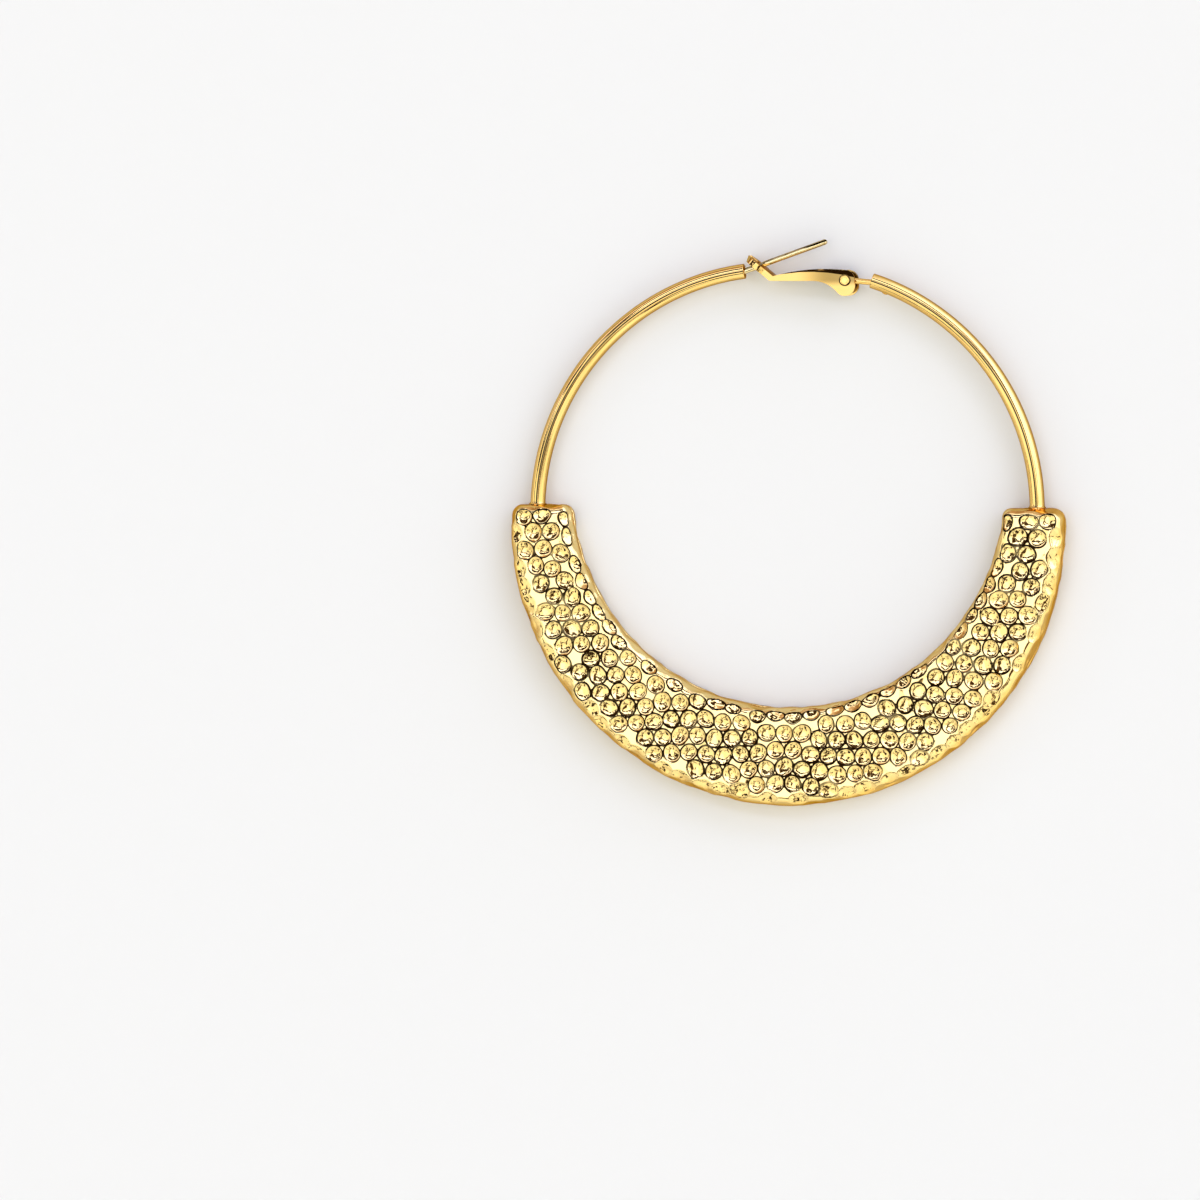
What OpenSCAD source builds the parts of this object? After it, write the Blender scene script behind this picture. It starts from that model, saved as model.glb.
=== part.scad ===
/* [Crescent] */
// Radius of the outer edge
outer_r = 37.5; // [37:0.1:38]
// Radius of the inner edge
inner_r = 29.25; // [28.8:0.05:29.6]
// Distance of the inner edge's centre above the outer one's
inner_up = 4.95; // [4.8:0.05:5.2]
// Thickness from the front face to the back face
thick = 4.5; // [4.4:0.1:5]
// Rounding between a face and the side band
shoulder_r = 1.5; // [1.3:0.1:1.7]
// Height of the two arm ends above the outer edge's centre
arm_top = 2.6; // [2:0.1:3.2]
// Rounding of the arm ends' corners, seen from the front
corner_r = 1.6; // [1.4:0.1:1.8]
// Wall of the hollow
wall = 0.7; // [0.65:0.05:0.9]
// Depth of the soldered seam round the side band
seam_depth = 0.12; // [0.08:0.02:0.16]

/* [Dimples] */
// Distance that neighbouring dimples keep from each other, centre to centre
pitch = 2.6; // [2.5:0.05:2.7]
// Average diameter of a dimple's rim
dimple_d = 2.25; // [2:0.05:2.3]
// Share by which the dimples' rims differ
dimple_spread = 0.07; // [0:0.01:0.1]
// Radius of the ball end that strikes a dimple
ball_r = 1.95; // [1.8:0.05:2.2]
// Least width of the ridge between two dimples
ridge = 0.14; // [0.1:0.02:0.3]
// Least distance of a dimple's centre from the outline
edge_in = 0.95; // [0.9:0.05:1.1]
// Least distance of a dimple's centre below an arm's end
end_in = 1.4; // [1.4:0.1:2]

/* [Tubes] */
// Outer diameter of the tubes
tube_d = 2; // [1.9:0.05:2.1]
// Bore of the tubes
tube_bore_d = 1.4; // [1.3:0.05:1.45]
// Length of each tube inside its arm
tube_in = 3; // [2:0.5:4]
// Length of the solid plug in each tube's upper end
plug_len = 2; // [1.5:0.25:2.5]

/* [Clasp] */
// Diameter of the ear post
post_d = 0.75; // [0.7:0.05:0.8]
// Length of the ear post outside its tube
post_len = 11.85; // [11:0.05:12.5]
// Rise of the ear post above the horizontal
post_rise = 19.8; // [19.5:0.1:20.2]
// Distance of the catch's hole along the post from the tube
catch_at = 2; // [1.95:0.05:2.05]
// Depth of the click groove round the post, inside the catch
groove_depth = 0.06; // [0.04:0.01:0.1]
// Direction in which the catch plate rises from its bend
catch_dir = 141; // [140:0.5:142]
// Radius of the horseshoe round the catch's hole
catch_r = 2; // [1.9:0.05:2.05]
// Thickness of the catch plate
catch_t = 0.8; // [0.7:0.05:0.8]
// Diameter of the catch's hole
catch_hole_d = 1.56; // [1.5:0.02:1.6]
// Width of the mouth through which the post leaves the catch
mouth_w = 1; // [0.95:0.05:1.1]
// Width of the lever over its two ears
lever_w = 3.3; // [3.2:0.1:3.4]
// Wall of the lever's channel
lever_t = 0.5; // [0.45:0.05:0.5]
// Diameter of the rivet's shank
rivet_d = 0.66; // [0.6:0.02:0.7]
// Diameter of the rivet's heads
rivet_head_d = 1.54; // [1.4:0.02:1.6]

/* [Hidden] */
$fn = 160;
gold = [0.93, 0.74, 0.32];
pale_gold = [0.86, 0.76, 0.5];
mid = thick / 2;
// Clearance of a piece that is seated in another, and of the rivet in its tongue
seat = 0.03;
// Clearance of parts that pass each other as the lever swings
swing = 0.15;
// Distance by which a rounding crosses the surface that it meets
cross = 0.05;
// Distance by which a cutter runs past what it cuts
past = 1;

// Centre lines of the two tubes: centre, radius and angle of the upper end
post_arc_c = [-1.43, 1.53];
post_arc_r = 32.55;
post_arc_end = 97.6;
hinge_arc_c = [1.76, 2.15];
hinge_arc_r = 31.93;
hinge_arc_end = 72.3;
// Length of a wire inside a tube's plug
wire_in = 1.4;
// Solder bead on the hinge tube's underside: its angle, its radius and how far it stands out
bead_angle = 68.3;
bead_r = 0.3;
bead_out = 0.15;
// Stretch of the post that the click groove covers, measured from the middle of the catch's hole
groove_from = -0.4;
groove_to = 1;

// Hinge, in the middle plane: the rivet's centre, and the knuckle that it turns in
pivot = [8.1, 32.65];
knuckle_r = 0.68;
knuckle_w = 2;
tongue_r = 0.38;
// The lever's outline, measured from the rivet: the arc of its back, the line of its belly and
// where an arc takes over from it, and its two round ear lobes
back_c = [-3, -22.53];
back_r = 24;
belly_y = -0.12;
belly_x = -4.3;
ear_c = [0, 0.05];
ear_r = 1.3;
lobe_c = [-0.02, -0.72];
lobe_r = 1.38;
// Bevels along the lever's back: the arc where they start, their height and the slope of their face
bevel_c = [-4.7, -23.6];
bevel_r = 24.7;
bevel_h = 1.2;
bevel_slope = 25;
// Length of the catch plate below its hole, and rounding of the bend there
neck_len = 2.4;
heel_r = 0.42;
// The channel under the lever's back: its closed end, and where the back stops short of the hinge
channel_start = -8.2;
channel_end = -0.95;
// Rivet heads: their thickness, and the ring that is pressed in round the shank's end
head_t = 0.2;
ring_gap = 0.05;
ring_w = 0.14;
ring_depth = 0.06;

function ray(a) = [cos(a), sin(a)];
function bearing(v) = atan2(v.y, v.x);
// Angle that a length takes up along an arc, and the angle from the X axis at which an arc is y high
function turn(length, r) = length / r * 180 / PI;
function arc_angle(c, r, y) = asin((y - c.y) / r);
post_root = post_arc_c + post_arc_r * ray(post_arc_end);
hinge_root = hinge_arc_c + hinge_arc_r * ray(hinge_arc_end);
post_start = post_root - wire_in * ray(post_rise);
post_tip = post_root + post_len * ray(post_rise);
catch_hole = post_root + catch_at * ray(post_rise);
// The tongue's wire runs from the hinge into the middle of the hinge tube's plug
tongue_aim = hinge_arc_c + hinge_arc_r * ray(hinge_arc_end - turn(plug_len / 2, hinge_arc_r));
tongue_dir = bearing(tongue_aim - pivot);
tongue_len = norm(hinge_root - pivot) + wire_in;
tongue_start = pivot + tongue_len * ray(tongue_dir);
// Reach of the catch from the hinge, short of the post tube's end
catch_reach = norm(post_root - tube_d / 2 * ray(post_arc_end) - pivot) - swing;
// Shift that brings the middle of the whole outline over the origin
shift_y = (outer_r - post_tip.y - post_d / 2 * cos(post_rise)) / 2;
lever_low = lobe_c.y - lobe_r;
lever_high = back_c.y + back_r;
// The belly's arc: it leaves the belly's line smoothly and only just crosses the lobe's edge
graze = 0.01;
lobe_in = lobe_r - graze;
belly_run = lobe_c.x - belly_x;
belly_fall = belly_y - lobe_c.y;
belly_r = (belly_run * belly_run + belly_fall * belly_fall - lobe_in * lobe_in)
    / (2 * (lobe_in + belly_fall));
belly_c = [belly_x, belly_y - belly_r];
// Height at which the belly runs into the lobe
web_y = lobe_c.y + lobe_in * (belly_c.y - lobe_c.y) / (belly_r + lobe_in);

// Dimples: a jittered hexagonal lattice over the face, whose points then push each other apart
lattice = 0.9 * pitch;
spare_rows = 3;
jitter = 0.25;
push_rate = 0.3;
rounds = 40;
// Angles by which the jitter and the rims' sizes turn from one point to the next
jitter_x = [217, 131];
jitter_y = [163, -89];
rim_turn = 137;
// Height of a dimple cutter's flat side above the face
lens_top = 0.05;
inner_c = [0, inner_up];
out_limit = outer_r - edge_in;
in_limit = inner_r + edge_in;
top_limit = arm_top - end_in;

function on_face(p) = norm(p) <= out_limit && norm(p - inner_c) >= in_limit && p.y <= top_limit;

function lattice_point(i, j) =
    [(i + abs(j % 2) / 2), j * sqrt(3) / 2] * lattice
    + jitter * lattice * [sin(jitter_x * [i, j]), cos(jitter_y * [i, j])];

function start_points() =
    let (n = ceil(outer_r / lattice) + spare_rows)
    [for (j = [-n:spare_rows]) for (i = [-n:n]) let (p = lattice_point(i, j)) if (on_face(p)) p];

function kept(p) =
    let (
        a = norm(p) > out_limit ? p * out_limit / norm(p) : p,
        v = a - inner_c,
        b = norm(v) < in_limit ? inner_c + v * in_limit / norm(v) : a
    )
    [b.x, min(b.y, top_limit)];

// Numbers of the points near each point
function neighbours(pts, reach) =
    [for (i = [0:len(pts) - 1])
        [for (j = [0:len(pts) - 1]) if (i != j && norm(pts[i] - pts[j]) < reach) j]];

function pushed(pts, near, i) =
    let (
        shoves = [for (j = near[i]) let (v = pts[i] - pts[j], d = norm(v)) if (d < pitch)
            v * (pitch / d - 1)]
    )
    len(shoves) == 0 ? pts[i] : kept(pts[i] + push_rate * ([for (s = shoves) 1] * shoves));

function spread(pts, near, n) =
    n == 0 ? pts : spread([for (i = [0:len(pts) - 1]) pushed(pts, near, i)], near, n - 1);

function dimple_points() =
    let (pts = start_points())
    spread(pts, neighbours(pts, 2 * pitch), rounds);

// Radius of a dimple's rim: its own share of the average, but clear of the nearest rim
function rim_r(pts, near, i) =
    min(
        dimple_d / 2 * (1 + dimple_spread * sin(i * rim_turn)),
        (min([for (j = near[i]) norm(pts[i] - pts[j])]) - ridge) / 2
    );

// Where a dimple at p sits on the rounded face: its height, its lean and the way it leans
function face_place(p) =
    let (
        out_e = outer_r - norm(p),
        in_e = norm(p - inner_c) - inner_r,
        top_e = arm_top - p.y,
        e = min(out_e, in_e, top_e),
        lean = e < shoulder_r ? asin((shoulder_r - e) / shoulder_r) : 0
    )
    [thick - shoulder_r * (1 - cos(lean)), lean,
     e == out_e ? bearing(p) : e == in_e ? bearing(inner_c - p) : 90];

// Solid of the crescent's form, with every surface moved in by inset
module crescent_block(inset) {
    r_out = outer_r - inset;
    r_in = inner_r + inset;
    r_edge = shoulder_r - inset;
    top = arm_top - inset;
    intersection() {
        difference() {
            disc(r_out, r_edge, inset);
            translate(inner_c) flared_hole(r_in, r_edge, inset);
        }
        arm_ends(top, corner_r - inset, r_out, r_in);
        end_rounding(top, r_edge, inset);
    }
}

// Disc with rounded rims, and with the seam's groove round its outside
module disc(r, r_edge, inset) {
    h = thick - 2 * inset;
    rotate_extrude() difference() {
        translate([0, inset]) union() {
            square([r - r_edge, h]);
            translate([0, r_edge]) square([r, h - 2 * r_edge]);
            for (z = [r_edge, h - r_edge]) translate([r - r_edge, z]) circle(r_edge);
        }
        if (inset == 0) seam_notch(r);
    }
}

// Cutter for the inner edge: a hole that widens round a rounded rim
module flared_hole(r, r_edge, inset) {
    h = thick - 2 * inset;
    rotate_extrude() {
        difference() {
            translate([0, -past]) square([r + r_edge, thick + 2 * past]);
            translate([r, inset + r_edge]) square([2 * r_edge, h - 2 * r_edge]);
            for (z = [inset + r_edge, thick - inset - r_edge])
                translate([r + r_edge, z]) circle(r_edge);
        }
        if (inset == 0) seam_notch(r);
    }
}

module seam_notch(r) {
    translate([r, mid]) rotate(45) square(seam_depth * sqrt(2), center = true);
}

// Everything below the arm ends, with the ends' corners rounded
module arm_ends(top, r, r_out, r_in) {
    low = top - r;
    x_out = sqrt(pow(r_out - r + cross, 2) - low * low);
    x_in = sqrt(pow(r_in + r - cross, 2) - pow(low - inner_up, 2));
    wide = outer_r + past;
    translate([0, 0, -past]) linear_extrude(thick + 2 * past) {
        translate([-wide, -wide]) square([2 * wide, wide + low]);
        for (side = [0, 1]) mirror([side, 0]) {
            translate([x_in, low - past]) square([x_out - x_in, r + past]);
            for (x = [x_in, x_out]) translate([x, low]) circle(r);
        }
    }
}

// The same half space, rounded towards the two faces
module end_rounding(top, r, inset) {
    z0 = inset - cross;
    h = thick - 2 * z0;
    wide = outer_r + past;
    rotate([90, 0, 90]) linear_extrude(2 * wide, center = true) {
        translate([-wide, z0]) square([wide + top - r, h]);
        translate([-past, z0 + r]) square([top + past, h - 2 * r]);
        for (z = [z0 + r, z0 + h - r]) translate([top - r, z]) circle(r);
    }
}

// Cutter for a dimple with a rim of radius r: a lens of the ball, with its flat side up
module lens(r) {
    rise = sqrt(ball_r * ball_r - r * r);
    rotate_extrude($fn = 48) intersection() {
        translate([0, rise]) circle(ball_r);
        translate([0, rise - ball_r]) square([ball_r, ball_r - rise + lens_top]);
    }
}

// The dimples of the front face
module dimples() {
    pts = dimple_points();
    near = neighbours(pts, 2 * pitch);
    for (i = [0:len(pts) - 1]) {
        place = face_place(pts[i]);
        translate([pts[i].x, pts[i].y, place[0]]) rotate([0, place[1], place[2]])
            lens(rim_r(pts, near, i));
    }
}

// Bent rod along a circle in the middle plane
module arc_rod(c, r, from, to, rod_r) {
    translate([c.x, c.y, mid]) rotate_extrude(start = from, angle = to - from)
        translate([r, 0]) circle(rod_r);
}

// Straight round rod in the middle plane
module rod(start, dir, len, r) {
    translate([start.x, start.y, mid]) rotate([0, 90, dir]) cylinder(len, r, r);
}

// Round hole in an arm's end for a tube, along the tube's centre line; turned says left or right
module socket(c, r, turned) {
    high = arc_angle(c, r, arm_top + tube_in);
    low = arc_angle(c, r, arm_top - tube_in);
    arc_rod(c, r, turned ? 180 - high : low, turned ? 180 - low : high, tube_d / 2 + seat);
}

// Moves a piece from the frame of the outer edge's centre to that of the whole outline
module placed() {
    translate([0, shift_y, 0]) children();
}

module crescent() {
    color(gold) placed() difference() {
        crescent_block(0);
        crescent_block(wall);
        dimples();
        translate([0, 0, thick]) mirror([0, 0, 1]) mirror([1, 0, 0]) dimples();
        socket(post_arc_c, post_arc_r, true);
        socket(hinge_arc_c, hinge_arc_r, false);
    }
}

// Tube from inside its arm to a plugged end, with a blind hole there for the wire that starts at
// wire_start, and with what is soldered to its outside
module plugged_tube(c, r, low, high, wire_start, wire_dir, wire_r) {
    way = sign(high - low);
    difference() {
        union() {
            arc_rod(c, r, low, high, tube_d / 2);
            children();
        }
        arc_rod(c, r, low - way * turn(past, r), high - way * turn(plug_len, r), tube_bore_d / 2);
        rod(wire_start - seat * ray(wire_dir), wire_dir, 2 * wire_in, wire_r + seat);
    }
}

module post_tube() {
    low = 180 - arc_angle(post_arc_c, post_arc_r, arm_top - tube_in);
    color(gold) placed() plugged_tube(
        post_arc_c, post_arc_r, low, post_arc_end, post_start, post_rise, post_d / 2
    );
}

module hinge_tube() {
    low = arc_angle(hinge_arc_c, hinge_arc_r, arm_top - tube_in);
    bead = hinge_arc_c + (hinge_arc_r - tube_d / 2 - bead_out + bead_r) * ray(bead_angle);
    color(gold) placed() plugged_tube(
        hinge_arc_c, hinge_arc_r, low, hinge_arc_end, tongue_start, tongue_dir + 180, tongue_r
    )
        translate([bead.x, bead.y, mid]) sphere(bead_r, $fn = 32);
}

// Half of the post's outline from its root inside the plug to its round tip
module post_profile() {
    r = post_d / 2;
    len = wire_in + post_len;
    half_groove = (groove_to - groove_from) / 2;
    groove_r = (half_groove * half_groove / groove_depth + groove_depth) / 2;
    difference() {
        square([r, len - r]);
        translate([r - groove_depth + groove_r, wire_in + catch_at + groove_from + half_groove])
            circle(groove_r);
    }
    intersection() {
        translate([0, len - r]) circle(r);
        translate([0, len - r]) square(r);
    }
}

module ear_post() {
    color(pale_gold) placed() translate([post_start.x, post_start.y, mid])
        rotate([0, 90, post_rise]) rotate_extrude() post_profile();
}

module hinge_tongue() {
    color(gold) placed() difference() {
        union() {
            translate([pivot.x, pivot.y, mid]) cylinder(knuckle_w, r = knuckle_r, center = true);
            rod(tongue_start, tongue_dir + 180, tongue_len, tongue_r);
        }
        translate([pivot.x, pivot.y, mid])
            cylinder(2 * knuckle_w, r = rivet_d / 2 + seat, center = true);
    }
}

// Side view of the lever without its catch, measured from the rivet
module lever_side(heel) {
    difference() {
        union() {
            intersection() {
                translate(back_c) circle(back_r);
                translate([heel.x, web_y]) square([-heel.x, lever_high - web_y + past]);
            }
            translate(ear_c) circle(ear_r);
            translate(lobe_c) circle(lobe_r);
        }
        translate(belly_c) circle(belly_r);
        translate([heel.x - past, lever_low])
            square([belly_c.x - heel.x + past, belly_y - lever_low]);
    }
}

// Side view of the hollow between the lever's walls: under its back, and all of the hinge
module channel_side() {
    tall = lever_high - lever_low + 2 * past;
    intersection() {
        translate(back_c) circle(back_r - lever_t);
        translate([channel_start, lever_low - past]) square([-channel_start, tall]);
    }
    translate([channel_end, lever_low - past])
        square([ear_c.x + ear_r + past - channel_end, tall]);
}

// Room that the bevels leave to the lever's body
module bevel_room() {
    step_in = bevel_h * tan(bevel_slope);
    half_w = lever_w / 2;
    top = bevel_r + bevel_h;
    translate(bevel_c) rotate_extrude() polygon([
        [0, -half_w], [bevel_r, -half_w], [top, step_in - half_w],
        [top, half_w - step_in], [bevel_r, half_w], [0, half_w]
    ]);
}

// Horseshoe on its neck, standing on edge along the catch's direction
module catch_plate() {
    rotate([90, 0, catch_dir]) linear_extrude(catch_t, center = true) difference() {
        union() {
            circle(catch_r);
            translate([-neck_len, -lever_w / 2]) square([neck_len, lever_w]);
        }
        circle(d = catch_hole_d);
        translate([0, -mouth_w / 2]) square([2 * catch_r, mouth_w]);
    }
}

module catch_lever() {
    hole = catch_hole - pivot;
    heel = hole - neck_len * ray(catch_dir);
    color(gold) placed() translate([pivot.x, pivot.y, mid]) difference() {
        union() {
            intersection() {
                linear_extrude(lever_w, center = true) {
                    lever_side(heel);
                    translate(heel) circle(heel_r);
                }
                bevel_room();
            }
            intersection() {
                translate(hole) catch_plate();
                cylinder(2 * thick, r = catch_reach, center = true);
            }
        }
        linear_extrude(lever_w - 2 * lever_t, center = true) channel_side();
        cylinder(2 * lever_w, r = rivet_d / 2 + seat, center = true);
    }
}

module rivet_head() {
    translate([0, 0, lever_w / 2 + seat]) rotate_extrude() difference() {
        square([rivet_head_d / 2, head_t]);
        translate([rivet_d / 2 + ring_gap, head_t - ring_depth]) square([ring_w, past]);
    }
}

module hinge_rivet() {
    color(gold) placed() translate([pivot.x, pivot.y, mid]) {
        cylinder(lever_w + 2 * seat + head_t, r = rivet_d / 2, center = true);
        for (face = [0, 1]) mirror([0, 0, face]) rivet_head();
    }
}

crescent();
post_tube();
hinge_tube();
ear_post();
hinge_tongue();
catch_lever();
hinge_rivet();
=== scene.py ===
import math

import bmesh
import bpy
import numpy as np
from bpy.props import FloatProperty, FloatVectorProperty, IntProperty, PointerProperty
from bpy.types import Operator, Panel, PropertyGroup
from mathutils import Matrix, Vector
from mathutils.geometry import delaunay_2d_cdt


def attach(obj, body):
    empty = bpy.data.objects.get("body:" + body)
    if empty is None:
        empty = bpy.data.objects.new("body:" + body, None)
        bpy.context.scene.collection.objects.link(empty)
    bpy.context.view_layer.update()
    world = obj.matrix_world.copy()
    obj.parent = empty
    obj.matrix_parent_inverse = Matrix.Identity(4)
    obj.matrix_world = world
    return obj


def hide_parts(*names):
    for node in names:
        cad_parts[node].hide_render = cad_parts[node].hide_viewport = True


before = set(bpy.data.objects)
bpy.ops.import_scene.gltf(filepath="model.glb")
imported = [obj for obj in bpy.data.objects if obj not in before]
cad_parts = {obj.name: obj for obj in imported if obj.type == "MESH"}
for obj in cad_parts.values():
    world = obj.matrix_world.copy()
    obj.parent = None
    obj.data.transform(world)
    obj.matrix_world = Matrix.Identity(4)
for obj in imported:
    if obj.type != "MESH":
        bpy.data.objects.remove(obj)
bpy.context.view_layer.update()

bl_info = {
    "name": "Hammered Half Hoop Earring",
    "version": (1, 0, 0),
    "blender": (4, 5, 0),
    "location": "3D View > Sidebar > Earring",
    "description": "Builds a hoop earring with a hammered crescent and a hinged catch",
    "category": "Add Mesh",
}

MM = 0.001
# Points of a mesh that lie nearer together than this are one point
SAME = 0.001 * MM
# The value of the attributes rim_gap and slant on a painted dark line. It isn't 0, because an attribute that
# a mesh lacks reads 0.
ON_LINE = 2
# Width and height of the photograph in pixels
PHOTO_WIDE = 1200


# Sizes and colours

def length(name, description, default_mm, low_mm=0.0):
    """A length property whose default is given in millimetres."""
    return FloatProperty(name=name, description=description, default=default_mm * MM,
                         min=low_mm * MM, unit="LENGTH", precision=5)


def turn_of(name, description, degrees):
    """An angle property whose default is given in degrees."""
    return FloatProperty(name=name, description=description, default=math.radians(degrees),
                         subtype="ANGLE", unit="ROTATION")


def number(name, description, default, high=1.0, low=0.0):
    """A property without a unit."""
    return FloatProperty(name=name, description=description, default=default, min=low, max=high)


def colour(name, description, default):
    """A colour property."""
    return FloatVectorProperty(name=name, description=description, default=default,
                               size=3, min=0, max=1, subtype="COLOR")


class CrescentSizes(PropertyGroup):
    """The hollow half moon and its struck dimples"""
    outer_r: length("Outer edge", "Radius of the outer edge", 37.5)
    inner_r: length("Inner edge", "Radius of the inner edge", 29.25)
    inner_up: length("Inner edge's rise", "How far the inner edge's centre lies above the outer one's", 4.95)
    thick: length("Thickness", "From the front face to the back face", 4.5)
    shoulder_r: length("Shoulder", "Rounding between a face and the side band", 1.5)
    arm_top: length("Arm ends", "Height of the arm ends above the outer edge's centre", 2.6)
    corner_r: length("Corners", "Rounding of the arm ends' corners", 1.6)
    seam_depth: length("Seam", "Depth of the soldered seam round the side band", 0.12)
    shift_y: length("Shift", "Height of the outer edge's centre above the middle of the outline",
                    -0.33047, -5)
    pitch: length("Pitch", "Distance that neighbouring dimples keep from each other", 2.6)
    dimple_d: length("Dimples", "Average diameter of a dimple's rim", 2.42)
    dimple_spread: number("Spread", "Share by which the rims differ", 0.07, 0.3)
    ball_share: number("Punch", "Radius of the ball end that strikes a dimple, as a share of its rim's",
                       1.68, 5, 1.1)
    ball_spread: number("Punch spread", "Share by which the ball ends differ", 0.16, 0.3)
    band_w: length("Band", "Width of the band along the outer edge whose dimples are shallow", 1.7)
    band_fade: length("Band's fade", "Distance over which the dimples grow shallow beside the band", 0.4)
    band_wider: number("Band's rims", "Share by which the shallow dimples are wider", 0.15, 0.5)
    ridge: length("Ridge", "Least width of the ridge between two dimples", 0.06)
    edge_in: length("Edge", "Least distance of a dimple's centre from the outline", 0.95)
    end_in: length("End", "Least distance of a dimple's centre below an arm's end", 1.4)
    softness: length("Rim softness", "Rounding of the dimples' rims", 0.045)
    stretch: number("Stretch", "Share by which the longest dimples are stretched", 0.16, 0.4)
    wander: length("Wander", "How far a dimple's rim strays from its ellipse", 0.12)
    ripple: length("Ripple", "Depth of the soft waves that hammering leaves", 0.1)
    ripple_size: length("Ripple size", "Distance between those waves", 2.6)
    facets: length("Facets", "Depth of the flat dents between the dimples and on the side band", 0.07)
    facet_size: length("Facet size", "Distance between those dents", 2.7)
    pitting: length("Pitting", "Depth of the small lumps inside the dimples", 0.05)
    seed: IntProperty(name="Seed", description="Start of the ripple's pattern", default=4, min=0)


class TubeSizes(PropertyGroup):
    """The two bent tubes"""
    tube_r: length("Tube radius", "Outer radius of the tubes", 1.0)
    tube_in: length("Seat", "Length of each tube inside its arm", 3)
    seat: length("Clearance", "Room round a tube in its arm", 0.03)
    post_c: FloatVectorProperty(name="Post tube's centre", description="Centre of its bend", size=2,
                                default=(-1.43 * MM, 1.53 * MM), subtype="TRANSLATION", unit="LENGTH")
    post_r: length("Post tube's bend", "Radius of its centre line", 32.55)
    post_end: turn_of("Post tube's end", "Angle at which it ends", 97.6)
    hinge_c: FloatVectorProperty(name="Hinge tube's centre", description="Centre of its bend", size=2,
                                 default=(1.76 * MM, 2.15 * MM), subtype="TRANSLATION", unit="LENGTH")
    hinge_r: length("Hinge tube's bend", "Radius of its centre line", 31.93)
    hinge_end: turn_of("Hinge tube's end", "Angle at which it ends", 72.3)
    fillet: length("Solder", "Height of the solder round a tube where it enters its arm", 0.32)
    fillet_out: length("Solder width", "How far that solder stands out from the tube", 0.2)
    bead_angle: turn_of("Bead's place", "Angle of the solder bead under the hinge tube", 68.3)
    bead_r: length("Bead", "Radius of the solder bead", 0.3)
    bead_out: length("Bead's height", "How far the bead stands out", 0.15)


class ClaspSizes(PropertyGroup):
    """The ear post, the hinge and the lever with its horseshoe catch"""
    post_r: length("Post radius", "Radius of the ear post", 0.375)
    post_len: length("Post length", "Length of the ear post outside its tube", 11.85)
    post_rise: turn_of("Post rise", "Rise of the ear post above the horizontal", 19.8)
    wire_in: length("Wire seat", "Length of a wire inside a tube's plug", 1.4)
    catch_at: length("Catch", "Distance of the catch's hole along the post", 2)
    groove_from: length("Groove's start", "Start of the click groove beside the hole", -0.4, -5)
    groove_to: length("Groove's end", "End of the click groove beside the hole", 1)
    groove_depth: length("Groove", "Depth of the click groove", 0.06)
    catch_dir: turn_of("Catch's rise", "Direction in which the catch plate rises from its bend", 141)
    catch_thick: length("Catch plate", "Thickness of the catch plate", 0.8)
    catch_neck: length("Catch's neck", "Length of the neck below the catch's hole", 2.4)
    catch_round: length("Catch's edges", "Rounding of the catch plate's edges", 0.3)
    edge_round: length("Edges", "Rounding of the small edges", 0.09)


class FinishLooks(PropertyGroup):
    """Colours and polish"""
    gold: colour("Gold", "Colour of the polished gold", (0.99, 0.8, 0.42))
    # Random tone in the clouds, and painted shade: deeper gold in the dimples, on the sides and on the
    # softened pieces
    toned_and_shaded_gold: colour("Deep gold", "Colour of the gold where it is thickest", (0.95, 0.61, 0.17))
    edge_gold: colour("Edge gold", "Colour of the gold where it is seen at a grazing angle", (0.7, 0.4, 0.12))
    # Painted shade in the side band's hollows, which makes its facets show
    hollow_shade: colour("Bronze", "Colour of the gold in the hollows of the side band", (0.72, 0.42, 0.12))
    # Painted shade along the tubes' flanks
    flank_shade: colour("Brown", "Colour of the gold along the tubes' flanks", (0.3, 0.15, 0.03))
    # Painted shade and painted dark reflections: the black of the rims, the tubes' middle line, the lever and
    # the ear post
    painted_dark: colour("Polishing black", "Colour of the thin lines along the dimples' rims",
                      (0.012, 0.005, 0.001))
    pale_gold: colour("Pale gold", "Colour of the ear post", (0.86, 0.74, 0.47))
    # Painted shade on the ear post's upper side
    post_top_shade: colour("Olive", "Colour of the ear post's tarnish", (0.36, 0.29, 0.12))
    polish: number("Polish", "Roughness of the polished gold", 0.07)
    # Where the painted shade on the lever's upper part lies
    lever_low: length("Lever's shade", "Height in plan from which the lever's upper part darkens", 31.4)
    lever_high: length("Lever's full shade", "Height in plan from which it is darkest", 32.4)
    lever_left: length("Lever's bright end", "Place across the plan up to which the lever is bright", 1)
    lever_right: length("Lever's dark end", "Place across the plan from which it is darkest", 6)


class StageLooks(PropertyGroup):
    """Floor, light and camera"""
    yaw: turn_of("Yaw", "How far to the right of the earring's front the camera stands", 10.5)
    rise: turn_of("Rise", "How far above the earring's middle the camera stands", 2.5)
    distance: length("Distance", "From the camera to the earring", 1100)
    span: length("Span", "Width of the picture at the earring", 160)
    floor: colour("Floor", "Colour of the floor", (0.858, 0.88, 0.945))
    # Painted shade: the floor's colour as the gold mirrors it, dimmer than the floor itself
    shaded_floor_in_gold: colour("Mirrored floor", "Colour of the floor that the gold mirrors", (0.66, 0.65, 0.58))
    warm: FloatVectorProperty(name="Warm light", description="Colour of the dim parts of the light",
                              default=(1.0, 0.96, 0.75), size=3, min=0, soft_max=2, subtype="COLOR")
    cool: FloatVectorProperty(name="Cool light", description="Colour of the bright parts of the light",
                              default=(1.0, 1.03, 1.16), size=3, min=0, soft_max=2, subtype="COLOR")
    dark_tint: colour("Dark light", "Colour of the dark parts of the light", (1.0, 0.5, 0.12))
    key: number("Light", "Strength of the light overhead", 1.52, 20)


# Nodes

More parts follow.
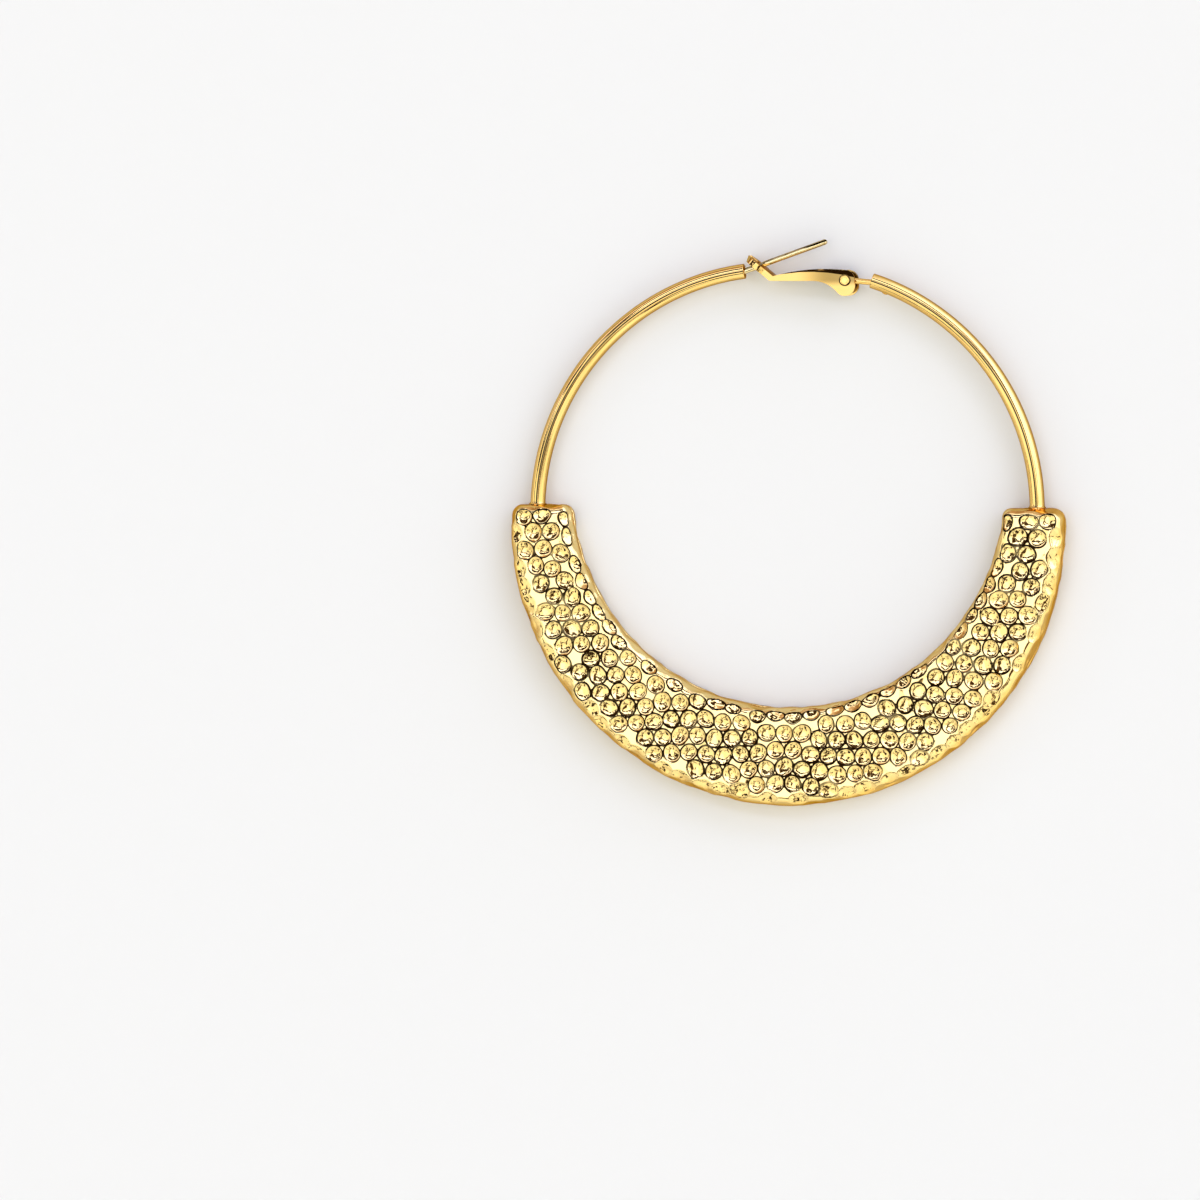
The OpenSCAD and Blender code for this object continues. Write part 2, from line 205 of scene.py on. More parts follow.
class Term:
    """A socket that adds Math or Vector Math nodes when it is reckoned with"""

    def __init__(self, nodes, socket):
        self.nodes, self.socket = nodes, socket

    def is_wide(self):
        """Whether this is a vector or a colour, which Vector Math reckons with."""
        return self.socket.type in ("VECTOR", "RGBA")

    def _math(self, operation, *values):
        wide = any(isinstance(v, Term) and v.is_wide() for v in values)
        kind = "ShaderNodeVectorMath" if wide else "ShaderNodeMath"
        return self.nodes.add(kind, {"operation": operation}, dict(enumerate(values)))

    def __add__(self, other): return self._math("ADD", self, other)
    def __radd__(self, other): return self._math("ADD", other, self)
    def __sub__(self, other): return self._math("SUBTRACT", self, other)
    def __rsub__(self, other): return self._math("SUBTRACT", other, self)
    def __mul__(self, other): return self._math("MULTIPLY", self, other)
    def __rmul__(self, other): return self._math("MULTIPLY", other, self)
    def __truediv__(self, other): return self._math("DIVIDE", self, other)
    def __rtruediv__(self, other): return self._math("DIVIDE", other, self)
    def __neg__(self): return self._math("MULTIPLY", self, -1)
    def __gt__(self, other): return self._math("GREATER_THAN", self, other)
    def __lt__(self, other): return self._math("LESS_THAN", self, other)

    def math(self, operation, *values):
        """Any other operation of the Math or the Vector Math node."""
        return self._math(operation, self, *values)

    def dot(self, other):
        """Dot product with another vector."""
        return self.nodes.add("ShaderNodeVectorMath", {"operation": "DOT_PRODUCT"},
                              {0: self, 1: other}, "Value")

    def parts(self):
        """The X, Y and Z of a vector."""
        return [self.nodes.add("ShaderNodeSeparateXYZ", {}, {0: self}, k) for k in range(3)]

    def step(self, low, high):
        """0 below low, 1 above high, smooth between."""
        return self.nodes.add("ShaderNodeMapRange", {"interpolation_type": "SMOOTHSTEP"},
                              {"Value": self, "From Min": low, "From Max": high})


class Nodes:
    """Adds nodes to a tree and links what is given as their values"""

    def __init__(self, tree):
        self.tree = tree

    def add(self, kind, settings=None, values=None, out=0):
        """One node: its type, its settings, the values or links of its sockets, and its output."""
        node = self.tree.nodes.new(kind)
        for name, value in (settings or {}).items():
            setattr(node, name, value)
        for name, value in (values or {}).items():
            self._feed(node.inputs[name], value)
        return Term(self, node.outputs[out]) if len(node.outputs) else node

    def _feed(self, socket, value):
        if isinstance(value, Term):
            self.tree.links.new(value.socket, socket)
        elif socket.type == "RGBA":
            socket.default_value = (*value, 1)[:4] if hasattr(value, "__len__") else (value,) * 3 + (1,)
        elif socket.type == "VECTOR" and not hasattr(value, "__len__"):
            socket.default_value = (value,) * 3
        else:
            socket.default_value = value

    def blend(self, factor, a, b):
        """Colour mix from a to b."""
        return self.add("ShaderNodeMix", {"data_type": "RGBA"}, {0: factor, 6: a, 7: b}, 2)

    def noise(self, place, size, detail=2, roughness=0.5):
        """Noise from 0 to 1 with features of the given size in metres."""
        return self.add("ShaderNodeTexNoise", {}, {
            "Vector": place, "Scale": 1 / size, "Detail": detail, "Roughness": roughness})

    def stored(self, name):
        """A number that the mesh stores at its points under that name."""
        return self.add("ShaderNodeAttribute", {"attribute_name": name}, {}, "Fac")


def geometry_tree(name, inputs):
    """Geometry node tree with named inputs, and those inputs as terms; Geometry comes first."""
    tree = bpy.data.node_groups.new(name, "GeometryNodeTree")
    tree.interface.new_socket("Geometry", in_out="INPUT", socket_type="NodeSocketGeometry")
    for label, kind, default in inputs:
        item = tree.interface.new_socket(label, in_out="INPUT", socket_type="NodeSocket" + kind)
        if default is not None:
            item.default_value = default
    tree.interface.new_socket("Geometry", in_out="OUTPUT", socket_type="NodeSocketGeometry")
    nodes = Nodes(tree)
    entry = tree.nodes.new("NodeGroupInput")
    return nodes, {s.name: Term(nodes, s) for s in entry.outputs if s.name}


def close_tree(nodes, geometry, finish):
    """Ends a tree in Realize Instances and Set Material."""
    real = nodes.add("GeometryNodeRealizeInstances", {}, {"Geometry": geometry})
    painted = nodes.add("GeometryNodeSetMaterial", {}, {"Geometry": real, "Material": finish})
    nodes.add("NodeGroupOutput", {}, {"Geometry": painted})


def grown(obj, tree, values):
    """Runs a geometry tree on an object, and leaves its result as the object's plain mesh."""
    modifier = obj.modifiers.new("Shape", "NODES")
    modifier.node_group = tree
    for item in tree.interface.items_tree:
        if item.in_out == "INPUT" and item.name in values:
            modifier[item.identifier] = values[item.name]
    evaluated = obj.evaluated_get(bpy.context.evaluated_depsgraph_get())
    mesh = bpy.data.meshes.new_from_object(evaluated)
    obj.modifiers.clear()
    rough, obj.data = obj.data, mesh
    bpy.data.meshes.remove(rough)
    mesh.name = obj.name


# Meshes

def new_piece(name, vertices, faces=(), edges=()):
    """A mesh object in the scene from points in metres."""
    mesh = bpy.data.meshes.new(name)
    mesh.from_pydata([tuple(v) for v in vertices], [tuple(e) for e in edges], [tuple(f) for f in faces])
    obj = bpy.data.objects.new(name, mesh)
    bpy.context.scene.collection.objects.link(obj)
    return obj


def put_values(mesh, name, values):
    """Stores a number, a whole number or a vector for each point in a named attribute."""
    kind, field, held = "FLOAT", "value", np.float32
    if values.ndim == 2:
        kind, field = "FLOAT_VECTOR", "vector"
    elif values.dtype.kind == "i":
        kind, held = "INT", np.int32
    mesh.attributes.new(name, kind, "POINT").data.foreach_set(field, values.astype(held).ravel())


def values_of(mesh, name):
    """The places or the normals of a mesh's points, one row a point."""
    values = np.empty(len(mesh.vertices) * 3, np.float32)
    mesh.vertices.foreach_get(name, values)
    return values.reshape(-1, 3)


def finished(obj, body, finish, *nodes, sharp=None):
    """Gives a piece its smooth shading, its finish, its body and the nodes that it stands for."""
    mesh = obj.data
    mesh.shade_smooth()
    if sharp is not None:
        mesh.set_sharp_from_angle(angle=math.radians(sharp))
    mesh.materials.clear()
    mesh.materials.append(finish)
    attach(obj, body)
    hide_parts(*nodes)
    return obj


def sind(angle):
    """Sine of an angle in degrees."""
    return np.sin(np.radians(angle))


def cosd(angle):
    """Cosine of an angle in degrees."""
    return np.cos(np.radians(angle))


def ray(angle):
    """The direction in plan at an angle in radians."""
    return np.array([math.cos(angle), math.sin(angle)])


class Crescent:
    """The crescent's form in millimetres, and its face rolled out flat"""

    # The lattice that the dimples start from and how they push each other apart, as in the part's solid
    LATTICE_SHARE, JITTER_SHARE, PUSH_SHARE, PUSH_ROUNDS = 0.9, 0.25, 0.3, 40
    # Rings of mesh points round a dimple: radius as a share of its rim's, and number of points
    RINGS = ((0.3, 8), (0.56, 14), (0.76, 22), (0.89, 32), (0.95, 32), (1, 32), (1.05, 32), (1.14, 32))
    # Least share by which a ring's point is nearer to its own dimple than to any other
    OWN_SHARE = 0.012
    # Distance between mesh points on the plateaus, and the share of a rim's radius that they keep off
    FILL_STEP, FILL_OFF = 0.42, 1.2
    # Distance between mesh points along the seam, the distance of one row of them from the seam's slope,
    # and that of another from the seam's middle
    SEAM_STEP, SEAM_ROW, LAST_ROW = 0.34, 0.1, 0.48
    # Room that the rings' points and the plateaus' points keep from the side band's upright part
    RING_ROOM, FILL_ROOM = 0.1, 0.2
    # Room that mesh points keep from a tube's hole, and points round half a hole
    HOLE_ROOM, HOLE_POINTS = 0.09, 33
    # Triangles whose middle lies deeper in a hole than this are dropped
    HOLE_INSIDE = 0.003

    def __init__(self, s):
        for name in ("outer_r", "inner_r", "inner_up", "thick", "shoulder_r", "arm_top", "corner_r",
                     "seam_depth", "shift_y", "pitch", "dimple_d", "ridge", "edge_in", "end_in",
                     "band_w", "band_fade"):
            setattr(self, name, getattr(s, name) / MM)
        self.spread, self.stretch = s.dimple_spread, s.stretch
        self.ball_share, self.ball_spread, self.band_wider = s.ball_share, s.ball_spread, s.band_wider
        self.mid = self.thick / 2
        # The core is the flat part of a face: the outline without its shoulder
        self.core_out = self.outer_r - self.shoulder_r
        self.core_in = self.inner_r + self.shoulder_r
        self.core_top = self.arm_top - self.shoulder_r
        self.knee = self.shoulder_r * math.pi / 2
        self.reach = self.knee + self.mid - self.shoulder_r
        self.tip = self.corner_r - self.shoulder_r
        low = self.arm_top - self.corner_r
        self.inner_c = np.array([0, self.inner_up])
        self.corner_out = np.array([math.sqrt((self.outer_r - self.corner_r) ** 2 - low ** 2), low])
        self.corner_in = np.array(
            [math.sqrt((self.inner_r + self.corner_r) ** 2 - (low - self.inner_up) ** 2), low])

    def beyond(self, p):
        """Distance of flat points beyond the core's outline, and the direction in which it grows."""
        q = np.stack([np.abs(p[:, 0]), p[:, 1]], 1)
        r = np.maximum(np.hypot(*q.T), 1e-9)
        v = q - self.inner_c
        s = np.maximum(np.hypot(*v.T), 1e-9)
        ways = np.stack([q / r[:, None], -v / s[:, None], np.tile([0.0, 1.0], (len(q), 1))])
        fields = np.stack([r - self.core_out, self.core_in - s, q[:, 1] - self.core_top])
        pick = fields.argmax(0)
        rows = np.arange(len(q))
        dist, way = fields[pick, rows], ways[pick, rows]
        for corner, side, sign in ((self.corner_out, self.corner_out, 1),
                                   (self.corner_in, self.inner_c - self.corner_in, -1)):
            w = q - corner
            far = np.maximum(np.hypot(*w.T), 1e-9)
            fan = (sign * w[:, 0] > 0) & (sign * (side[0] * w[:, 1] - side[1] * w[:, 0]) > 0)
            dist = np.where(fan, far - self.tip, dist)
            way = np.where(fan[:, None], w / far[:, None], way)
        return dist, way * np.stack([np.where(p[:, 0] < 0, -1, 1), np.ones(len(p))], 1)

    def rolled(self, flat):
        """Points of the real surface, front face up, for points of the flat sheet."""
        d, way = self.beyond(flat)
        bend = np.clip(d, 0, self.knee) / self.shoulder_r
        out = np.where(d > 0, self.shoulder_r * np.sin(bend), d)
        out -= np.maximum(0, self.seam_depth - (self.reach - d))
        z = self.thick - self.shoulder_r * (1 - np.cos(bend)) - np.maximum(0, d - self.knee)
        xy = flat + way * (out - d)[:, None]
        return np.column_stack([xy, z])

    def flattened(self, p):
        """Place in the flat sheet of surface points that are given by their place in plan."""
        d, way = self.beyond(p)
        bend = np.arcsin(np.clip(d / self.shoulder_r, 0, 1))
        return p + way * np.where(d > 0, self.shoulder_r * bend - d, 0)[:, None]

    def struck(self):
        """For each dimple of the front face its place in plan, its rim's radius, how much longer it is
        in which direction, the radius of its ball, and how shallow it is from 0 to 1. The places are
        a jittered hexagonal lattice whose points push each other apart, as the part's solid has it."""
        lattice = self.LATTICE_SHARE * self.pitch
        n = math.ceil(self.outer_r / lattice) + 3
        j, i = np.mgrid[-n:4, -n:n + 1].reshape(2, -1).astype(float)
        pts = np.stack([i + np.abs(np.fmod(j, 2)) / 2, j * math.sqrt(3) / 2], 1) * lattice
        pts += self.JITTER_SHARE * lattice * np.stack([sind(i * 217 + j * 131), cosd(i * 163 - j * 89)], 1)
        far, near, top = self.outer_r - self.edge_in, self.inner_r + self.edge_in, self.arm_top - self.end_in
        pts = pts[(np.hypot(*pts.T) <= far) & (np.hypot(*(pts - self.inner_c).T) >= near)
                  & (pts[:, 1] <= top)]

        def gaps():
            """From each dimple to each other one, as a vector and as a distance."""
            gap = pts[:, None] - pts[None]
            dist = np.hypot(gap[..., 0], gap[..., 1])
            return gap, np.where(dist == 0, np.inf, dist)

        close = gaps()[1] < 2 * self.pitch
        for _ in range(self.PUSH_ROUNDS):
            gap, dist = gaps()
            push = np.where(close & (dist < self.pitch), self.pitch / dist - 1, 0)
            new = pts + self.PUSH_SHARE * (gap * push[..., None]).sum(1)
            new *= np.minimum(1, far / np.hypot(*new.T))[:, None]
            v = new - self.inner_c
            new = self.inner_c + v * np.maximum(1, near / np.hypot(*v.T))[:, None]
            new[:, 1] = np.minimum(new[:, 1], top)
            pts = np.where((push > 0).any(1)[:, None], new, pts)
        k = np.arange(len(pts))
        share = 1 + self.spread * sind(k * 137)
        rims = np.minimum(self.dimple_d / 2 * share, (gaps()[1].min(1) - self.ridge) / 2)
        longer = 1 + self.stretch * sind(k * 71) ** 2
        long_ways = np.stack([cosd(k * 97), sind(k * 97)], 1)
        shallow = np.clip((self.band_w - self.outer_r + np.hypot(*pts.T)) / self.band_fade, 0, 1)
        balls = rims * (self.ball_share * (1 + self.ball_spread * sind(k * 59)) + shallow)
        return pts, rims * (1 + self.band_wider * shallow), longer, long_ways, balls, shallow

    def leaning(self, p):
        """Middle of each dimple on the rounded face, and the direction of its axis."""
        out = self.outer_r - np.hypot(*p.T)
        v = self.inner_c - p
        into = np.hypot(*v.T) - self.inner_r
        end = self.arm_top - p[:, 1]
        e = np.minimum(np.minimum(out, into), end)
        lean = np.arcsin(np.clip((self.shoulder_r - e) / self.shoulder_r, 0, 1))
        way = np.where((e == out)[:, None], p, np.where((e == into)[:, None], v, [0.0, 1.0]))
        way = way / np.hypot(*way.T)[:, None]
        z = self.thick - self.shoulder_r * (1 - np.cos(lean))
        return (np.column_stack([p, z]),
                np.column_stack([way * np.sin(lean)[:, None], np.cos(lean)]))

    def loop(self, d, step, holes=None, hole_r=0):
        """Closed loop of flat points at distance d beyond the core, round the tubes' holes."""
        def arc(c, r, a, b):
            """Points on a circle round c from angle a to angle b, without the last."""
            n = max(2, math.ceil(abs(b - a) * abs(r) / step))
            t = np.linspace(a, b, n + 1)[:-1]
            return c + r * np.stack([np.cos(t), np.sin(t)], 1)

        def line(a, b):
            """Points from a to b, without the last."""
            n = max(2, math.ceil(np.hypot(*(b - a)) / step))
            return a + (b - a) * np.linspace(0, 1, n + 1)[:-1, None]

        def half(hole_x):
            """The loop's right half, from the belly over the arm's end and back along the inner edge."""
            a_out = math.atan2(*self.corner_out[::-1])
            a_in = math.atan2(*(self.corner_in - self.inner_c)[::-1])
            up = np.array([0, self.tip + d])
            a, b = self.corner_out + up, self.corner_in + up
            if hole_x is None:
                top = [line(a, b)]
            else:
                turns = np.linspace(0, math.pi, self.HOLE_POINTS)
                z = self.mid + hole_r * np.sin(turns)
                ring = np.column_stack([hole_x + hole_r * np.cos(turns), self.core_top + self.depth_at(z)])
                top = [line(a, ring[0]), ring[:-1], line(ring[-1], b)]
            return np.concatenate([
                arc(np.zeros(2), self.core_out + d, -math.pi / 2, a_out),
                arc(self.corner_out, self.tip + d, a_out, math.pi / 2),
                *top,
                arc(self.corner_in, self.tip + d, math.pi / 2, math.pi + a_in),
                arc(self.inner_c, self.core_in - d, a_in, -math.pi / 2),
                [self.inner_c - [0, self.core_in - d]],
            ])

        left, right = holes or (None, None)
        return np.concatenate([half(right), (half(left)[::-1] * [-1, 1])[1:-1]])

    def depth_at(self, z):
        """Distance beyond the core at which the side has the height z."""
        top = self.thick - self.shoulder_r
        bend = np.arccos(np.clip((z - top) / self.shoulder_r, 0, 1))
        return np.where(z > top, self.shoulder_r * bend, self.knee + top - z)

    def sheet(self, middles, rims, longer, long_ways, holes, hole_r):
        """Triangles of one half shell, rolled up: rings round each dimple and rows at the seam."""
        parts, owners = [middles], [np.arange(len(middles))]
        for share, n in self.RINGS:
            a = (np.arange(n) + 0.5) * 2 * math.pi / n
            ring = np.stack([np.cos(a), np.sin(a)], 1)
            along = ring @ long_ways.T
            ring = ring[None] + (along.T * (longer[:, None] - 1))[..., None] * long_ways[:, None]
            parts.append((middles[:, None] + rims[:, None, None] * share * ring).reshape(-1, 2))
            owners.append(np.repeat(np.arange(len(middles)), n))
        cloud, owner = np.concatenate(parts), np.concatenate(owners)

        def shares(p):
            """Each point's distance from each dimple, as a share of the rim's radius that way."""
            gap = p[:, None] - middles[None]
            along = (gap * long_ways).sum(-1) * (1 - 1 / longer)
            gap = gap - along[..., None] * long_ways
            return np.hypot(gap[..., 0], gap[..., 1]) / rims

        near = shares(cloud)
        rows = np.arange(len(cloud))
        own = near[rows, owner]
        near[rows, owner] = np.inf
        cloud = cloud[near.min(1) > own + self.OWN_SHARE]
        step = self.FILL_STEP
        y, x = np.mgrid[-self.outer_r - 4:self.arm_top + 4:step * math.sqrt(3) / 2,
                        -self.outer_r - 4:self.outer_r + 4:step]
        x[1::2] += step / 2
        filler = np.column_stack([x.ravel(), y.ravel()])
        filler = filler[shares(filler).min(1) > self.FILL_OFF]
        inner = np.concatenate([cloud[self.beyond(cloud)[0] < self.knee - self.RING_ROOM],
                                filler[self.beyond(filler)[0] < self.knee - self.FILL_ROOM]])
        rings = [self.loop(self.reach - back, self.SEAM_STEP)
                 for back in (self.seam_depth / 2, self.seam_depth, self.seam_depth + self.SEAM_ROW,
                              self.LAST_ROW, self.reach - self.knee)]
        inner = np.concatenate([inner, *rings])

        def in_hole(flat, radius):
            """Which flat points lie on an arm's end, within that radius of its hole's middle."""
            real = self.rolled(flat)
            hole_x = np.where(real[:, 0] < 0, -holes[0], holes[1])
            off = np.hypot(real[:, 0] - hole_x, real[:, 2] - self.mid)
            return (off < radius) & (real[:, 1] > self.core_top + 1)

        inner = inner[~in_hole(inner, hole_r + self.HOLE_ROOM)]
        edge = self.loop(self.reach, self.SEAM_STEP, holes, hole_r)
        flat, _, faces = delaunay_2d_cdt([Vector(v) for v in np.concatenate([edge, inner]).tolist()], [],
                                         [list(range(len(edge)))], 0, 1e-5, False)[:3]
        flat, faces = np.array([v[:] for v in flat]), np.array([f[:] for f in faces])
        # The triangulation fills the loop's whole hull, so what lies outside the sheet is dropped
        middle = flat[faces].mean(1)
        out = (self.beyond(middle)[0] > self.reach) | in_hole(middle, hole_r - self.HOLE_INSIDE)
        return self.rolled(flat), faces[~out]


def half_turn(p, thick):
    """The same points with the earring turned over sideways."""
    return p * [-1, 1, -1] + [0, 0, thick]


# Lengths and shares that the struck skin is made with: the width over which a dimple begins, the grain
# of its rim's wandering, its full depth, half the width of a rim's line, and how much deeper the facets
# are all over the side band and on its rounding
DIMPLE_START, STRAY_GRAIN, FULL_DEPTH, RIM_HALF = 0.06 * MM, 5 / 3 * MM, 0.35 * MM, 0.11 * MM
SIDE_FACETS, ROUND_FACETS = 0.8, 3.6
# How fast a facet grows shallow towards its edge, and the size of the pits as a share of the waves'
FACET_FALL, PIT_SHARE = 2.6, 0.3


def skin_tree():
    """Geometry nodes that strike each dimple into the smooth skin with a ball."""
    nodes, given = geometry_tree("Struck skin", [
        ("Dimple points", "Object", None), ("Softness", "Float", 0.04 * MM),
        ("Wander", "Float", 0.1 * MM), ("Ripple", "Float", 0.05 * MM), ("Ripple size", "Float", 2 * MM),
        ("Facets", "Float", 0.06 * MM), ("Facet size", "Float", 2.7 * MM),
        ("Pitting", "Float", 0.01 * MM), ("Seed", "Int", 0), ("Finish", "Material", None)])
    points = nodes.add("GeometryNodeObjectInfo", {}, {"Object": given["Dimple points"]}, "Geometry")

    def attribute(name, kind):
        """What the points store under that name."""
        return nodes.add("GeometryNodeInputNamedAttribute", {"data_type": kind}, {"Name": name}, "Attribute")

    def of_dimple(value, kind):
        """A value of the dimple that a point of the skin belongs to."""
        return nodes.add("GeometryNodeSampleIndex", {"data_type": kind, "domain": "POINT"},
                         {"Geometry": points, "Value": value, "Index": attribute("dimple", "INT")})

    place = nodes.add("GeometryNodeInputPosition")
    normal = nodes.add("GeometryNodeInputNormal")
    rim = of_dimple(attribute("rim", "FLOAT"), "FLOAT")
    axis = of_dimple(attribute("axis", "FLOAT_VECTOR"), "FLOAT_VECTOR")
    middle = of_dimple(place, "FLOAT_VECTOR")
    ball = of_dimple(attribute("ball", "FLOAT"), "FLOAT")
    shallow = of_dimple(attribute("shallow", "FLOAT"), "FLOAT")
    centre = middle + axis * (ball * ball - rim * rim).math("SQRT")
    # The seed moves the patterns by centimetres
    shift = given["Seed"] * 0.01
    # Depth of the ball's far side below the skin, along the skin's own normal
    stray = nodes.add("ShaderNodeTexNoise", {}, {
        "Vector": place - shift, "Scale": 1 / STRAY_GRAIN, "Detail": 0.0}, "Color")
    off = place - centre + (stray - 0.5) * given["Wander"]
    long_way = of_dimple(attribute("long", "FLOAT_VECTOR"), "FLOAT_VECTOR")
    off = off - long_way * off.dot(long_way)
    along = off.dot(normal)
    # Where this is under 0 the line misses the ball, and where along is over 0 the ball lies outside
    inside = along * along + ball * ball - off.dot(off)
    deep = along + inside.math("MAXIMUM", 0).math("SQRT") - (inside < 0) - (along > 0)
    dent = deep.math("SMOOTH_MAX", 0, given["Softness"])
    in_dimple = deep.step(0, DIMPLE_START)

    def bumps(size):
        """Noise from 0 to 1 with features of that size, moved by the seed."""
        return nodes.add("ShaderNodeTexNoise", {}, {
            "Vector": place + shift, "Scale": 1 / size, "Detail": 1})

    ripple = bumps(given["Ripple size"]).step(0.3, 0.7) * given["Ripple"]
    cells = nodes.add("ShaderNodeTexVoronoi", {"feature": "F1"}, {
        "Vector": place + shift, "Scale": 1 / given["Facet size"]}, "Distance")
    upright = normal.parts()[2].math("ABSOLUTE")
    side = 1 - upright.step(0.5, 0.98)
    hollow = (1 - cells * cells * FACET_FALL).math("MAXIMUM", 0)
    facets = hollow * given["Facets"] * (1 + side * (upright.step(0.0, 0.4) * ROUND_FACETS + SIDE_FACETS))
    pits = bumps(given["Ripple size"] * PIT_SHARE).step(0.35, 0.65) * in_dimple * given["Pitting"]
    # For the finish: how deep a point is struck, how far it faces sideways on the outer band, how deep it
    # lies there, how near it is to a rim, and how shallow its dimple is
    outside = place.dot(normal) > 0
    marked = given["Geometry"]
    for name, value in (("struck", (dent / FULL_DEPTH).math("MINIMUM", 1)), ("side", side * outside),
                        ("hollow", hollow * side * outside * (1 - in_dimple)),
                        ("rim_gap", ON_LINE + (deep / RIM_HALF).math("MAXIMUM", -1).math("MINIMUM", 1)),
                        ("shallow", shallow)):
        marked = nodes.add("GeometryNodeStoreNamedAttribute", {"data_type": "FLOAT", "domain": "POINT"},
                           {"Geometry": marked, "Name": name, "Value": value})
    moved = nodes.add("GeometryNodeSetPosition", {}, {
        "Geometry": marked, "Offset": -(normal * (dent + ripple + facets + pits))})
    close_tree(nodes, moved, given["Finish"])
    return nodes.tree


def wire_tree():
    """Geometry nodes that draw a round rod or tube along a path, with its own girth at each point."""
    nodes, given = geometry_tree("Drawn wire", [("Sides", "Int", 64), ("Finish", "Material", None)])
    path = nodes.add("GeometryNodeMeshToCurve", {}, {"Mesh": given["Geometry"]})
    path = nodes.add("GeometryNodeSetCurveNormal", {"mode": "Z_UP"}, {"Curve": path})
    girth = nodes.add("GeometryNodeInputNamedAttribute", {"data_type": "FLOAT"}, {"Name": "girth"},
                      "Attribute")
    circle = nodes.add("GeometryNodeCurvePrimitiveCircle", {"mode": "RADIUS"},
                       {"Resolution": given["Sides"], "Radius": 1})
    wire = nodes.add("GeometryNodeCurveToMesh", {}, {
        "Curve": path, "Profile Curve": circle, "Scale": girth, "Fill Caps": True})
    close_tree(nodes, wire, given["Finish"])
    return nodes.tree


# The attribute side says how far a point faces sideways. These are its value all over a softened piece
# and on a rod's front and back, and how much more it is on a rod's flanks. It grows while the upward
# part of the normal falls from FLANK_NONE to FLANK_FULL.
# The finish paints shade from side: deeper gold on the sides, and brown on the rods' flanks
SOFT_SIDE, ROD_SIDE, FLANK_MORE, FLANK_NONE, FLANK_FULL = 0.9, 0.6, 0.8, 0.75, 0.25
# A normal with a smaller share than this across its rod belongs to an end of it
ACROSS = 0.8


def drawn(name, points, girths, finish, sides=64):
    """A round rod through points in millimetres in plan, at mid height, with these radii. Its slant says
    how far a point's normal leans to the rod's outer side: it is ON_LINE at the front and back, where the
    finish paints a dark reflection, and 1 more or less at the flanks. Its flat ends are off that line too."""
    s = bpy.context.scene.earring_crescent
    path = np.column_stack([points, np.full(len(points), s.thick / 2 / MM)]) + [0, s.shift_y / MM, 0]
    obj = new_piece(name, path * MM, edges=[(k, k + 1) for k in range(len(path) - 1)])
    put_values(obj.data, "girth", girths * MM)
    tree = bpy.data.node_groups.get("Drawn wire") or wire_tree()
    grown(obj, tree, {"Sides": sides, "Finish": finish})
    outward(obj)
    ways = values_of(obj.data, "normal")
    flank = np.clip((FLANK_NONE - np.abs(ways[:, 2])) / (FLANK_NONE - FLANK_FULL), 0, 1)
    put_values(obj.data, "side", ROD_SIDE + FLANK_MORE * flank)
    run = np.gradient(path[:, :2], axis=0)
    turned = np.column_stack([-run[:, 1], run[:, 0]])
    turned *= (np.sign((turned * path[:, :2]).sum(1)) / np.linalg.norm(turned, axis=1))[:, None]
    near = ((values_of(obj.data, "co")[:, None, :2] / MM - path[None, :, :2]) ** 2).sum(2).argmin(1)
    lean = (ways[:, :2] * turned[near]).sum(1)
    at_end = np.hypot(lean, ways[:, 2]) < ACROSS
    put_values(obj.data, "slant", ON_LINE + np.where(at_end, 1, lean))
    return obj


def outward(obj):
    """Merges doubles and turns all faces outwards."""
    cage = bmesh.new()
    cage.from_mesh(obj.data)
    bmesh.ops.remove_doubles(cage, verts=cage.verts, dist=SAME / 2)
    bmesh.ops.recalc_face_normals(cage, faces=cage.faces)
    cage.to_mesh(obj.data)
    cage.free()


def joined(name, pieces):
    """One object from several."""
    cage = bmesh.new()
    for piece in pieces:
        cage.from_mesh(piece.data)
    mesh = bpy.data.meshes.new(name)
    cage.to_mesh(mesh)
    cage.free()
    for piece in pieces:
        old = piece.data
        bpy.data.objects.remove(piece)
        bpy.data.meshes.remove(old)
    obj = bpy.data.objects.new(name, mesh)
    bpy.context.scene.collection.objects.link(obj)
    return obj


# Finishes

def new_finish(name):
    """An empty material, and its nodes."""
    finish = bpy.data.materials.new(name)
    finish.use_nodes = True
    finish.node_tree.nodes.clear()
    return finish, Nodes(finish.node_tree)


def metal(nodes, shade, roughness, normal, edge):
    """Ends a finish in polished metal."""
    shader = nodes.add("ShaderNodeBsdfPrincipled", {}, {
        "Base Color": shade, "Metallic": 1.0, "Roughness": roughness, "Normal": normal,
        "Specular Tint": tuple(edge)})
    nodes.add("ShaderNodeOutputMaterial", {}, {"Surface": shader})


